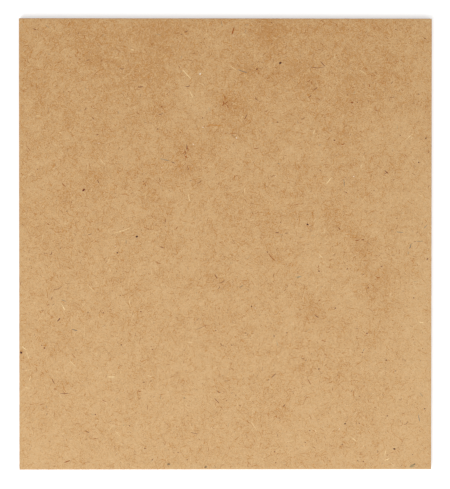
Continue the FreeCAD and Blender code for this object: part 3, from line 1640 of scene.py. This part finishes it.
@dataclass
class Studio:
    """The pale floor, the soft lights and the camera that looks straight down.

    Attributes:
        middle: The middle of the board's upper face, in millimetres.
        floor_half: Half of the floor's width, in metres.
        floor_colour: The floor's own colour.
        floor_lift: How much white the floor adds for the camera alone, by the board and far off.
        floor_fade: How near and how far off those are, in metres.
        sky: How bright the surround lights the board.
        lamps: Each lamp's name, its place and its side in metres, and its power in watts.
        lens: The camera's focal length.
        sensor: The size of its sensor's longer side.
        reach: How far it stands from the board.
        sway: How far it stands off the upright, across and along the board.
        aim: The point that it looks at, off the board's middle.
    """

    middle: Vector
    floor_half: float = 4.0
    floor_colour: float = 0.80
    floor_lift: tuple[float, float] = (0.46, 0.80)
    floor_fade: tuple[float, float] = (0.3, 1.1)
    sky: float = 0.39
    lamps: tuple[tuple[str, tuple[float, float, float], float, float], ...] = (
        ("key", (-0.45, -0.75, 1.05), 0.8, 11.0),
        ("fill", (0.95, -0.60, 1.10), 1.1, 5.2),
    )
    lens: float = 100.0
    sensor: float = 36.0
    reach: float = 526.3
    sway: tuple[float, float] = (-3.99, 4.94)
    aim: tuple[float, float] = (-0.21, -0.09)

    def seen_light(self, tree: bpy.types.NodeTree) -> Socket:
        """Tells rays that only show the background from those that light the board.

        Args:
            tree: The tree to add nodes to.

        Returns:
            A socket that is 1 for rays that show the background, and 0 for the rest.
        """
        path = tree.nodes.new("ShaderNodeLightPath")
        seen = path.outputs["Is Camera Ray"]
        for name in ("Is Glossy Ray", "Is Transmission Ray"):
            either = tree.nodes.new("ShaderNodeMath")
            either.operation = "MAXIMUM"
            tree.links.new(seen, either.inputs[0])
            tree.links.new(path.outputs[name], either.inputs[1])
            seen = either.outputs[0]
        return seen

    def make_floor(self) -> None:
        """Lays the floor, which shows white but keeps the board's shadow."""
        half = self.floor_half
        mesh = bpy.data.meshes.new("floor")
        mesh.from_pydata(
            [(-half, -half, 0.0), (half, -half, 0.0), (half, half, 0.0), (-half, half, 0.0)],
            [], [(0, 1, 2, 3)],
        )
        floor = bpy.data.objects.new("floor", mesh)
        bpy.context.scene.collection.objects.link(floor)
        graph = Graph("pale_floor")
        matte = graph.node("BsdfDiffuse")
        matte.inputs["Color"].default_value = (*(self.floor_colour,) * 3, 1.0)
        glow = graph.node("Emission")
        away = graph.node("VectorMath", operation="LENGTH")
        graph.feed(away.inputs[0], graph.node("TexCoord").outputs["Object"])
        lift = graph.remap(away.outputs["Value"], *self.floor_fade, *self.floor_lift)
        graph.feed(glow.inputs["Strength"], graph.times(self.seen_light(graph.tree), lift))
        both = graph.node("AddShader")
        graph.feed(both.inputs[0], matte.outputs[0])
        graph.feed(both.inputs[1], glow.outputs[0])
        graph.feed(graph.node("OutputMaterial").inputs["Surface"], both.outputs[0])
        mesh.materials.append(graph.material)

    def make_surround(self) -> None:
        """Sets a white surround that lights the board softly from all round."""
        world = bpy.data.worlds.new("surround")
        world.use_nodes = True
        bpy.context.scene.world = world
        tree = world.node_tree
        background = next(n for n in tree.nodes if n.type == "BACKGROUND")
        background.inputs["Color"].default_value = (1.0, 1.0, 1.0, 1.0)
        strength = tree.nodes.new("ShaderNodeMapRange")
        tree.links.new(self.seen_light(tree), strength.inputs["Value"])
        strength.inputs["To Min"].default_value = self.sky
        strength.inputs["To Max"].default_value = 1.0
        tree.links.new(strength.outputs[0], background.inputs["Strength"])

    def make_lamp(self, name: str, place: tuple[float, float, float], width: float,
                  watts: float) -> None:
        """Hangs one square soft lamp that faces the board.

        Args:
            name: The lamp's name.
            place: Where it hangs, in metres.
            width: Its side, in metres.
            watts: Its power.
        """
        data = bpy.data.lights.new(name, "AREA")
        data.shape = "SQUARE"
        data.size = width
        data.energy = watts
        lamp = bpy.data.objects.new(name, data)
        bpy.context.scene.collection.objects.link(lamp)
        lamp.location = place
        lamp.rotation_mode = "QUATERNION"
        lamp.rotation_quaternion = (-Vector(place)).to_track_quat("-Z", "Y")

    def make_camera(self) -> None:
        """Stands the camera over the board, nearly square on."""
        data = bpy.data.cameras.new("camera")
        data.lens = self.lens
        data.sensor_width = self.sensor
        camera = bpy.data.objects.new("camera", data)
        bpy.context.scene.collection.objects.link(camera)
        target = (self.middle + Vector((*self.aim, 0.0))) * MM
        eye = (self.middle + Vector((*self.sway, self.reach))) * MM
        forward = (target - eye).normalized()
        right = forward.cross(Vector((0.0, 1.0, 0.0))).normalized()
        up = right.cross(forward)
        turn = Matrix((right, up, -forward)).transposed()
        camera.matrix_world = Matrix.Translation(eye) @ turn.to_4x4()
        bpy.context.scene.camera = camera

    def build(self) -> None:
        """Sets up the floor, the surround, the lamps and the camera."""
        bpy.context.scene.view_settings.view_transform = "Standard"
        self.make_floor()
        self.make_surround()
        for lamp in self.lamps:
            self.make_lamp(*lamp)
        self.make_camera()


BROWN_THREAD = ThreadFinish(
    "brown_thread",
    ((0.0, linear(140, 72, 22)), (0.4, linear(166, 94, 22)), (1.0, linear(190, 124, 44))),
)
FELT_THREAD = ThreadFinish(
    "felt_thread",
    ((0.0, linear(178, 104, 16)), (1.0, linear(204, 146, 70))),
)
RUST_THREAD = ThreadFinish(
    "rust_thread",
    ((0.0, linear(154, 74, 16)), (0.4, linear(176, 98, 20)), (1.0, linear(202, 136, 56))),
)
STRAW_THREAD = ThreadFinish(
    "straw_thread",
    ((0.0, linear(216, 179, 124)), (1.0, linear(236, 209, 162))),
)
SPLINTER = ThreadFinish(
    "splinter",
    ((0.0, linear(220, 184, 128)), (1.0, linear(246, 222, 172))),
    fade=0.3,
)
DARK_THREAD = ThreadFinish(
    "dark_thread",
    ((0.0, linear(98, 32, 36)), (0.3, linear(114, 46, 38)), (1.0, linear(150, 84, 38))),
    fade=0.3,
)
STAINED_THREAD = ThreadFinish(
    "stained_thread",
    ((0.0, linear(112, 108, 100)), (1.0, linear(176, 162, 134))),
    fade=0.3,
)
STAINED_FLECK = ThreadFinish(
    "stained_fleck",
    ((0.0, linear(96, 82, 60)), (1.0, linear(172, 148, 108))),
    fade=0.6,
)
BARK_FLECK = ThreadFinish(
    "bark_fleck",
    ((0.0, linear(66, 26, 24)), (0.25, linear(110, 40, 28)), (1.0, linear(158, 88, 38))),
    fade=0.2,
)
CHALK_FLECK = ThreadFinish(
    "chalk_fleck",
    ((0.0, linear(226, 208, 178)), (1.0, linear(250, 245, 232))),
    fade=0.1,
)

# The few threads that stand out one by one on the upper face.
# In each row: u, v, length, width, heading, curl and tone.
PLACED_RUST = each(Strand, (
    (-4.2, 46.2, 7.6, 0.54, 6, 10, 0.95), (-6.6, 45.8, 2.2, 0.52, 12, 6, 0.55),
    (-17.9, 68.5, 1.6, 0.44, 120, 30, 0.05), (-33.9, 50.7, 2.0, 0.36, -34, 10, 0.05),
    (3.1, 43.0, 3.6, 0.36, 10, 15, 0.30), (-1.0, 54.6, 2.6, 0.52, 70, 60, 0.00),
    (-0.4, 56.8, 2.2, 0.50, 100, 40, 0.10), (0.2, 54.9, 2.0, 0.50, 30, 40, 0.05),
    (-16.2, 35.6, 2.4, 0.48, 60, 40, 0.10), (-14.7, 36.8, 2.2, 0.48, 110, 30, 0.05),
    (-15.4, 33.8, 1.8, 0.46, 140, 40, 0.15), (-14.8, 30.0, 2.0, 0.46, 70, 30, 0.10),
    (0.6, 53.4, 2.4, 0.44, 120, 50, 0.05), (32.2, 63.4, 2.2, 0.48, 30, 60, 0.00),
    (33.2, 62.5, 1.8, 0.40, 100, 60, 0.10), (15.7, 51.6, 1.8, 0.44, 40, 40, 0.10),
    (2.8, 82.5, 3.8, 0.62, 78, 10, 0.00), (55.8, 61.5, 1.8, 0.54, -70, 20, 0.10),
    (58.6, 51.9, 2.4, 0.38, -20, 20, 0.10), (45.5, 38.8, 1.9, 0.52, 20, 20, 0.05),
    (11.8, 37.2, 2.6, 0.54, 10, 30, 0.05), (-62.6, 23.0, 3.2, 0.44, -45, 10, 0.00),
    (-68.6, 7.8, 1.4, 0.42, -20, 20, 0.05), (-30.0, 6.1, 5.0, 0.30, -12, 10, 0.25),
    (-18.9, 6.4, 1.4, 0.40, 50, 10, 0.05), (-26.2, -7.0, 3.0, 0.36, -30, 30, 0.10),
    (-68.8, -23.4, 1.6, 0.46, 20, 50, 0.05), (27.6, 15.5, 2.6, 0.34, 12, 20, 0.15),
    (17.9, -5.0, 5.0, 0.44, -46, 8, 0.00), (35.8, -8.6, 1.8, 0.38, 60, 120, 0.05),
    (51.2, 1.6, 2.2, 0.60, 16, 20, 0.00), (53.2, 1.8, 1.2, 0.60, 0, 10, 0.00),
    (59.2, -12.7, 2.2, 0.40, -10, 60, 0.10), (36.4, -21.8, 1.4, 0.44, 20, 10, 0.10),
    (-58.8, -43.2, 3.4, 0.28, -55, 10, 0.15), (-73.3, -48.2, 1.6, 0.36, -70, 10, 0.10),
    (-66.0, -56.1, 1.6, 0.42, -10, 10, 0.05), (-33.4, -57.0, 1.6, 0.42, 0, 10, 0.10),
    (-47.0, -60.7, 2.2, 0.38, -28, 10, 0.05), (-30.3, -63.3, 2.4, 0.36, 88, 10, 0.05),
    (-50.4, -75.2, 2.4, 0.46, -5, 30, 0.00), (-61.4, -84.2, 3.2, 0.50, 16, 10, 0.05),
    (-1.6, -63.4, 1.4, 0.42, -20, 10, 0.10), (38.8, -42.8, 1.8, 0.36, -35, 10, 0.10),
    (32.4, -53.2, 3.4, 0.40, -48, 6, 0.05),
))
PLACED_DARK = each(Strand, (
    (37.8, 69.8, 3.3, 0.38, -46, 15, 0.30), (35.3, 68.6, 7.3, 0.26, -5, 18, 0.45),
    (7.7, 49.3, 2.8, 0.36, 60, 30, 0.25), (30.0, 48.8, 2.2, 0.30, 20, 40, 0.30),
    (-15.1, 37.6, 2.8, 0.38, 84, 30, 0.30), (-15.7, 35.2, 2.4, 0.38, 70, 40, 0.25),
    (-14.5, 29.2, 1.6, 0.36, 80, 40, 0.35), (-13.6, 24.6, 1.4, 0.34, 10, 20, 0.35),
    (-10.0, 24.2, 3.0, 0.30, 50, 20, 0.35), (-64.6, -29.2, 2.3, 0.60, 48, 8, 0.00),
    (58.9, -80.5, 1.8, 0.32, 80, 150, 0.15), (-20.2, 31.7, 2.0, 0.46, -22, 20, 0.20),
    (-14.6, 61.2, 2.2, 0.44, 14, 30, 0.15), (-32.9, 61.0, 2.8, 0.46, 6, 30, 0.20),
    (-73.7, 83.2, 1.6, 0.36, -25, 30, 0.20), (-15.2, 82.4, 2.2, 0.38, 30, 30, 0.20),
    (-17.0, 81.2, 1.0, 0.34, 0, 0, 0.20), (-57.0, 81.6, 1.2, 0.34, 70, 20, 0.30),
    (-53.2, 71.3, 1.6, 0.34, 10, 30, 0.35), (-48.0, 71.0, 1.6, 0.34, 60, 30, 0.35),
    (-40.0, 68.0, 2.4, 0.40, 0, 40, 0.35), (-54.2, 52.4, 1.8, 0.32, 55, 20, 0.25),
    (-51.2, 48.8, 1.6, 0.34, -60, 20, 0.30), (-49.6, 42.4, 1.2, 0.36, 20, 20, 0.20),
    (-25.0, 50.5, 2.5, 0.36, 30, 40, 0.35), (-49.2, 24.2, 2.0, 0.38, -60, 20, 0.30),
    (34.8, 60.3, 2.2, 0.44, 35, 30, 0.30), (32.6, 57.3, 2.0, 0.34, 40, 30, 0.40),
    (12.0, 56.3, 2.2, 0.38, -50, 30, 0.30), (64.4, 62.6, 1.6, 0.36, 60, 20, 0.20),
    (64.5, 57.0, 2.6, 0.26, 5, 10, 0.35), (62.3, 28.1, 2.2, 0.34, -45, 10, 0.15),
    (62.2, 27.6, 2.2, 0.28, 30, 10, 0.30), (-67.6, -3.5, 2.2, 0.38, 60, 60, 0.35),
    (-52.6, 3.9, 2.0, 0.30, 20, 30, 0.40), (-24.5, -1.2, 2.6, 0.38, -22, 6, 0.35),
    (-23.4, 9.0, 2.0, 0.34, 85, 20, 0.45), (-3.6, -12.5, 2.6, 0.38, -60, 20, 0.30),
    (-1.4, -14.6, 3.4, 0.38, 30, 20, 0.35), (-2.6, -16.8, 1.8, 0.42, 60, 60, 0.25),
    (-67.3, -20.8, 1.8, 0.30, 70, 10, 0.35), (-9.4, -32.2, 6.0, 0.24, 30, 8, 0.55),
    (-65.0, -17.0, 5.0, 0.28, 25, 30, 0.50), (20.0, 4.6, 1.8, 0.40, -8, 10, 0.15),
    (23.6, 4.3, 1.4, 0.44, 15, 10, 0.15), (18.6, -12.0, 1.8, 0.30, 75, 10, 0.35),
    (53.4, -11.6, 1.4, 0.34, -10, 20, 0.35), (60.5, -8.6, 1.2, 0.38, 30, 10, 0.25),
    (35.4, -27.9, 2.4, 0.48, -35, 20, 0.35), (44.1, 6.1, 1.8, 0.34, -60, 10, 0.35),
    (-1.4, -39.0, 2.4, 0.36, -40, 30, 0.40), (-66.8, -53.0, 3.2, 0.30, -65, 6, 0.30),
    (-62.4, -57.8, 4.6, 0.28, -3, 10, 0.45), (-31.7, -53.5, 1.0, 0.38, 10, 0, 0.30),
    (-3.4, -60.6, 3.4, 0.34, -50, 10, 0.35), (-2.6, -57.2, 2.6, 0.36, -30, 40, 0.40),
    (-53.6, -72.6, 2.4, 0.40, -30, 30, 0.40), (-12.0, -73.3, 4.0, 0.28, -6, 10, 0.45),
    (18.8, -35.6, 1.6, 0.40, 85, 6, 0.15), (30.0, -44.3, 2.0, 0.30, -25, 20, 0.25),
    (31.2, -45.0, 1.6, 0.34, 20, 20, 0.25), (18.6, -51.0, 3.2, 0.38, 50, 12, 0.15),
    (16.6, -52.6, 1.2, 0.30, 5, 10, 0.30), (22.6, -62.6, 1.6, 0.44, 50, 40, 0.35),
    (70.0, -69.4, 3.2, 0.28, 40, 60, 0.40),
))
PLACED_SPLINTERS = each(Strand, (
    (-15.0, 65.8, 6.8, 0.56, -46, 4, 0.85), (-13.2, 58.0, 4.6, 0.46, -65, 6, 0.60),
    (-39.8, 5.4, 8.9, 0.36, 18, 6, 0.85), (-14.1, 18.0, 3.8, 0.42, -78, 8, 0.85),
    (50.2, -76.0, 3.3, 0.46, -35, 5, 0.75), (-36.0, 75.2, 1.8, 0.42, -5, 6, 0.80),
    (-72.6, 49.7, 2.6, 0.34, 0, 4, 0.80), (71.6, 42.0, 3.9, 0.34, 42, 4, 0.90),
    (40.0, 24.6, 4.2, 0.40, 50, 4, 0.80), (34.2, 43.4, 2.2, 0.36, 70, 6, 0.80),
    (-62.9, -24.3, 3.6, 0.42, -62, 4, 0.90), (-37.1, -22.8, 3.6, 0.34, -82, 4, 0.80),
    (-45.2, -6.0, 2.6, 0.32, 80, 6, 0.70), (-52.6, -16.5, 6.0, 0.28, -45, 4, 0.70),
    (76.0, -30.3, 2.6, 0.56, -12, 6, 0.80), (-59.4, -46.0, 5.0, 0.32, -48, 8, 0.70),
    (-76.6, -43.2, 5.0, 0.36, -72, 10, 0.80), (-78.0, -40.2, 3.0, 0.40, -38, 10, 0.90),
    (-75.8, -52.0, 2.6, 0.42, 70, 6, 0.90), (-76.6, -55.6, 3.0, 0.34, -5, 10, 0.80),
    (-44.3, -51.4, 3.4, 0.56, 0, 4, 0.85), (62.7, -83.6, 2.6, 0.56, 15, 10, 1.00),
    (62.0, -81.0, 2.4, 0.36, 80, 6, 0.90), (-64.0, 43.2, 1.6, 0.42, -10, 10, 0.80),
))
PLACED_STAINED = each(Strand, (
    (6.6, 67.0, 5.1, 0.46, -20, 8, 0.15), (-23.6, 32.8, 5.0, 0.46, -15, 6, 0.60),
    (75.2, -67.5, 3.4, 0.40, -82, 10, 0.45), (76.1, -58.4, 2.6, 0.28, -55, 6, 0.30),
    (45.9, 23.8, 3.6, 0.34, 97, 12, 0.15), (20.6, 31.3, 1.4, 0.38, -30, 10, 0.20),
    (-62.6, -21.8, 2.6, 0.38, -20, 10, 0.30), (-58.4, -33.2, 2.8, 0.42, -6, 6, 0.00),
    (67.6, 4.7, 3.6, 0.36, -8, 6, 0.15), (75.4, 1.2, 3.6, 0.26, 4, 6, 0.25),
    (71.7, -0.8, 2.6, 0.44, 75, 8, 0.10), (70.8, -3.4, 1.8, 0.34, 80, 6, 0.30),
    (77.5, 6.8, 2.6, 0.34, 50, 6, 0.30), (6.2, -16.3, 2.2, 0.44, 35, 8, 0.30),
    (28.4, -12.6, 2.6, 0.60, 8, 10, 0.80), (53.6, -41.0, 1.6, 0.34, 60, 10, 0.30),
    (-5.0, -86.9, 5.0, 0.34, 2, 4, 0.30),
))
# The flecks that stand out. In each row: u, v, size, stretch, heading and tone.
PLACED_BARK = each(Fleck, (
    (21.2, 70.2, 1.20, 1.2, 20, 0.00), (-34.4, 3.0, 1.05, 1.3, 10, 0.00),
    (31.8, 7.7, 1.00, 1.4, -20, 0.05), (10.1, -24.1, 0.80, 1.3, -40, 0.10),
    (62.4, -45.0, 0.66, 1.3, 0, 0.15), (46.4, -69.7, 0.84, 1.2, 80, 0.05),
    (65.6, -79.5, 1.00, 1.3, 10, 0.05), (77.3, -63.9, 0.80, 1.3, 20, 0.05),
    (45.3, -77.7, 0.62, 1.1, 0, 0.15), (31.0, -76.9, 0.58, 1.2, 0, 0.25),
    (32.7, -72.3, 0.54, 1.1, 0, 0.30), (62.8, -66.6, 0.66, 1.4, -40, 0.20),
    (51.9, -69.6, 0.54, 1.3, 70, 0.25), (51.4, -84.1, 0.56, 1.4, -20, 0.25),
    (53.5, -84.4, 0.60, 1.4, 0, 0.20), (72.7, -81.7, 0.52, 1.1, 0, 0.30),
    (49.0, -57.0, 0.50, 1.1, 0, 0.35), (52.0, -59.0, 0.48, 1.1, 0, 0.40),
    (20.2, 47.3, 0.62, 1.2, 0, 0.25), (44.0, 71.0, 0.58, 1.2, 0, 0.25),
    (-79.2, -41.9, 1.20, 1.2, 90, 0.00), (-55.0, 21.0, 1.35, 1.8, 40, 0.32),
    (12.2, 67.8, 0.95, 1.3, 60, 0.45), (-26.3, 44.6, 0.56, 1.2, 0, 0.25),
    (-8.9, 48.9, 0.54, 1.2, 0, 0.30), (-26.1, 41.1, 0.44, 1.2, 0, 0.40),
    (-24.8, 53.2, 0.80, 1.8, 20, 0.60), (-31.8, 24.4, 0.50, 1.3, 0, 0.20),
    (-31.0, 22.9, 0.48, 1.2, 0, 0.25), (17.8, 85.8, 0.56, 1.3, 60, 0.15),
    (49.0, 54.9, 1.00, 1.5, 0, 0.80), (51.1, 55.0, 0.56, 1.2, 0, 0.40),
    (66.0, 83.2, 0.58, 1.2, 0, 0.25), (77.2, 79.7, 0.66, 1.4, 10, 0.20),
    (74.9, 58.2, 0.50, 1.2, 0, 0.25), (77.6, 41.1, 0.72, 1.6, 20, 0.10),
    (67.7, 42.2, 0.48, 1.3, 0, 0.25), (42.2, 40.3, 0.68, 1.2, 0, 0.15),
    (74.9, 31.7, 0.66, 1.2, 60, 0.10), (78.8, 35.7, 0.58, 1.3, 0, 0.20),
    (46.9, 20.0, 0.60, 1.2, 0, 0.20), (36.7, 28.6, 0.48, 1.2, 0, 0.25),
    (-41.9, -3.3, 0.68, 1.1, 0, 0.10), (-64.0, -1.4, 0.62, 1.3, -20, 0.30),
    (-61.4, 12.8, 0.56, 1.4, 70, 0.40), (-40.5, -14.7, 0.48, 1.2, 0, 0.35),
    (-40.8, -19.8, 0.46, 1.2, 0, 0.35), (-53.3, -26.5, 0.58, 1.2, 0, 0.20),
    (-47.4, -26.5, 0.50, 1.2, 0, 0.25), (-32.8, -26.1, 0.76, 1.4, 10, 0.50),
    (-3.8, -33.4, 0.62, 1.1, 0, 0.20), (16.2, -3.0, 0.60, 1.3, -40, 0.25),
    (36.2, -10.4, 0.74, 1.6, 0, 0.35), (53.3, 1.8, 0.72, 1.2, 0, 0.50),
    (47.2, -9.6, 0.60, 1.5, 20, 0.40), (55.3, -16.9, 0.60, 1.4, 20, 0.30),
    (42.6, -24.8, 0.60, 1.4, 50, 0.25), (73.0, -20.8, 0.68, 1.6, 0, 0.30),
    (78.3, -5.7, 0.70, 1.6, 20, 0.25), (73.5, 1.0, 0.50, 1.2, 0, 0.25),
    (54.9, -34.6, 0.78, 1.6, 40, 0.35), (7.8, -34.4, 0.50, 1.3, 0, 0.25),
    (23.8, -34.3, 0.58, 1.4, 10, 0.20), (-70.1, -40.2, 0.74, 1.3, 90, 0.35),
    (-71.2, -39.2, 0.50, 1.2, 0, 0.30), (-40.4, -39.0, 0.62, 1.2, 0, 0.20),
    (-28.3, -40.8, 0.58, 1.4, 10, 0.35), (-50.5, -66.0, 0.62, 1.2, 0, 0.20),
    (-37.2, -70.4, 0.56, 1.3, 0, 0.25), (-69.3, -65.8, 0.48, 1.2, 0, 0.30),
    (-31.3, -79.2, 0.66, 1.2, 0, 0.20), (-28.4, -83.6, 0.60, 1.2, 0, 0.20),
    (-18.4, -80.8, 0.46, 1.2, 0, 0.30), (-14.9, -83.6, 0.50, 1.4, 40, 0.25),
    (-7.9, -86.7, 0.80, 1.3, 0, 0.15), (-22.0, -85.2, 0.72, 1.2, 0, 0.20),
    (2.4, -39.1, 0.58, 1.2, 0, 0.20), (53.1, -42.0, 0.54, 1.3, 0, 0.20),
    (65.9, -49.2, 0.50, 1.2, 0, 0.25), (36.2, -48.4, 0.70, 1.2, 0, 0.35),
    (43.6, -50.8, 0.54, 1.2, 0, 0.30), (5.6, -62.6, 0.58, 1.2, 0, 0.30),
    (4.0, -58.6, 0.50, 1.2, 60, 0.30), (19.1, -80.5, 0.66, 1.3, 50, 0.40),
    (19.5, -84.8, 0.54, 1.3, 60, 0.40),
))
PLACED_SMUDGES = each(Fleck, (
    (72.3, -86.1, 1.70, 1.7, 18, 0.95), (73.3, -85.5, 0.90, 1.3, 40, 0.40),
    (-22.0, -85.4, 1.20, 1.3, 0, 0.55), (-7.5, -86.4, 1.20, 1.5, 0, 0.50),
    (28.2, -12.8, 1.00, 1.4, 0, 1.00),
))
PLACED_CHALK = each(Fleck, (
    (-12.4, 38.7, 0.50, 1.2, 0, 0.5), (-9.8, 65.9, 0.80, 1.4, 10, 1.0),
    (4.2, 41.2, 0.60, 1.4, -40, 0.6), (-8.7, 45.3, 0.50, 1.2, 0, 0.6),
    (44.3, -71.6, 0.46, 1.3, 80, 0.4), (49.7, 26.2, 0.62, 1.2, 0, 0.8),
    (-49.0, 39.0, 0.46, 1.2, 0, 0.5), (11.6, -24.7, 0.50, 1.6, -30, 0.5),
    (-42.6, -0.8, 0.40, 1.2, 0, 0.5), (36.6, -5.0, 0.44, 1.2, 0, 0.3),
))


@dataclass
class FibreFelt:
    """All the loose fibre that shows on the board: threads, splinters and flecks.

    Attributes:
        sheet: The board that it lies on.
        whisker_heading: Which way the edges' torn threads point, in degrees.
    """

    sheet: PressedSheet
    whisker_heading: tuple[float, float] = (-16.0, 16.0)

    def upper(self) -> list[ThreadSpread | FleckSpread]:
        """The fibre of the face that shows.

        Returns:
            Its spreads, each a piece of its own.
        """
        face = self.sheet.face(Side.UPPER)
        return [
            ThreadSpread("brown_threads", face, BROWN_THREAD, 3900, (0.7, 3.4), (0.12, 0.28),
                         110, 21, gather=1.3, mild=0.6),
            ThreadSpread("felt_threads", face, FELT_THREAD, 10000, (0.7, 2.8), (0.10, 0.24),
                         100, 22, spans=4, gather=0.7),
            ThreadSpread("rust_threads", face, RUST_THREAD, 1900, (1.0, 4.2), (0.12, 0.32),
                         90, 23, gather=1.8, mild=0.6, placed=PLACED_RUST),
            ThreadSpread("straw_threads", face, STRAW_THREAD, 7000, (0.8, 3.6), (0.10, 0.22),
                         60, 24, spans=4, gather=0.0, mild=1.2),
            ThreadSpread("splinters", face, SPLINTER, 130, (1.6, 6.0), (0.16, 0.38),
                         14, 29, gather=0.0, mild=2.5, placed=PLACED_SPLINTERS),
            ThreadSpread("dark_threads", face, DARK_THREAD, 480, (0.6, 2.4), (0.12, 0.26),
                         80, 25, gather=0.6, mild=0.5, placed=PLACED_DARK),
            ThreadSpread("stained_threads", face, STAINED_THREAD, 34, (1.2, 4.0), (0.14, 0.30),
                         60, 26, gather=0.0, placed=PLACED_STAINED),
            FleckSpread("bark_flecks", face, BARK_FLECK, 1200, (0.13, 0.40), 27, placed=PLACED_BARK),
            FleckSpread("bark_crumbs", face, BARK_FLECK, 120, (0.30, 0.58), 31),
            FleckSpread("stained_flecks", face, STAINED_FLECK, 12, (0.3, 0.8), 30,
                        placed=PLACED_SMUDGES),
            FleckSpread("chalk_flecks", face, CHALK_FLECK, 24, (0.20, 0.38), 28, placed=PLACED_CHALK),
        ]

    def under(self) -> list[ThreadSpread | FleckSpread]:
        """The fibre of the underside, which is pressed as smooth as the other face.

        Returns:
            Its spreads, each a piece of its own.
        """
        face = self.sheet.face(Side.UNDER)
        return [
            ThreadSpread("underside_brown_threads", face, BROWN_THREAD, 2200, (1.0, 4.0),
                         (0.13, 0.34), 110, 41, spans=4, gather=1.3, mild=0.6),
            ThreadSpread("underside_felt_threads", face, FELT_THREAD, 3600, (0.8, 3.0),
                         (0.12, 0.30), 100, 42, spans=4, gather=0.7),
            ThreadSpread("underside_straw_threads", face, STRAW_THREAD, 2400, (0.8, 3.6),
                         (0.11, 0.26), 60, 43, spans=4, gather=0.0, mild=1.4),
            FleckSpread("underside_bark_flecks", face, BARK_FLECK, 500, (0.16, 0.52), 44),
        ]

    def edges(self) -> list[ThreadSpread]:
        """The torn threads that the saw left on the four edges.

        Returns:
            Two spreads for each edge, each a piece of its own.
        """
        spreads = []
        kinds = (("torn", BROWN_THREAD, 420), ("pale", STRAW_THREAD, 320))
        edges = (Side.NEAR, Side.RIGHT, Side.FAR, Side.LEFT)
        for seed, (side, (kind, finish, count)) in enumerate(product(edges, kinds), EDGE_SEED):
            spreads.append(ThreadSpread(
                f"{side.name.lower()}_edge_{kind}_threads", self.sheet.face(side), finish, count,
                (0.4, 1.8), (0.05, 0.13), 40, seed, spans=4, gather=0.0,
                rise=0.030, sunk=0.030, heading=self.whisker_heading,
            ))
        return spreads

    def build(self) -> list[bpy.types.Object]:
        """Makes every spread of fibre, and gives their pieces."""
        return [spread.build() for spread in self.upper() + self.under() + self.edges()]


def main() -> None:
    """Builds the board, its fibre and the studio round it."""
    logging.basicConfig(level=logging.INFO, format="%(name)s: %(message)s")
    low, high = (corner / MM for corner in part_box(SHEET_NODE))
    sheet = PressedSheet(low, high, FibreMat(half_length=(high.y - low.y) / 2))
    pieces = [sheet.build()] + FibreFelt(sheet).build()
    for piece in pieces:
        LOG.info("%s: %d faces", piece.name, len(piece.data.polygons))
    Studio(Vector((0.0, 0.0, high.z))).build()


if __name__ == "__main__":
    main()
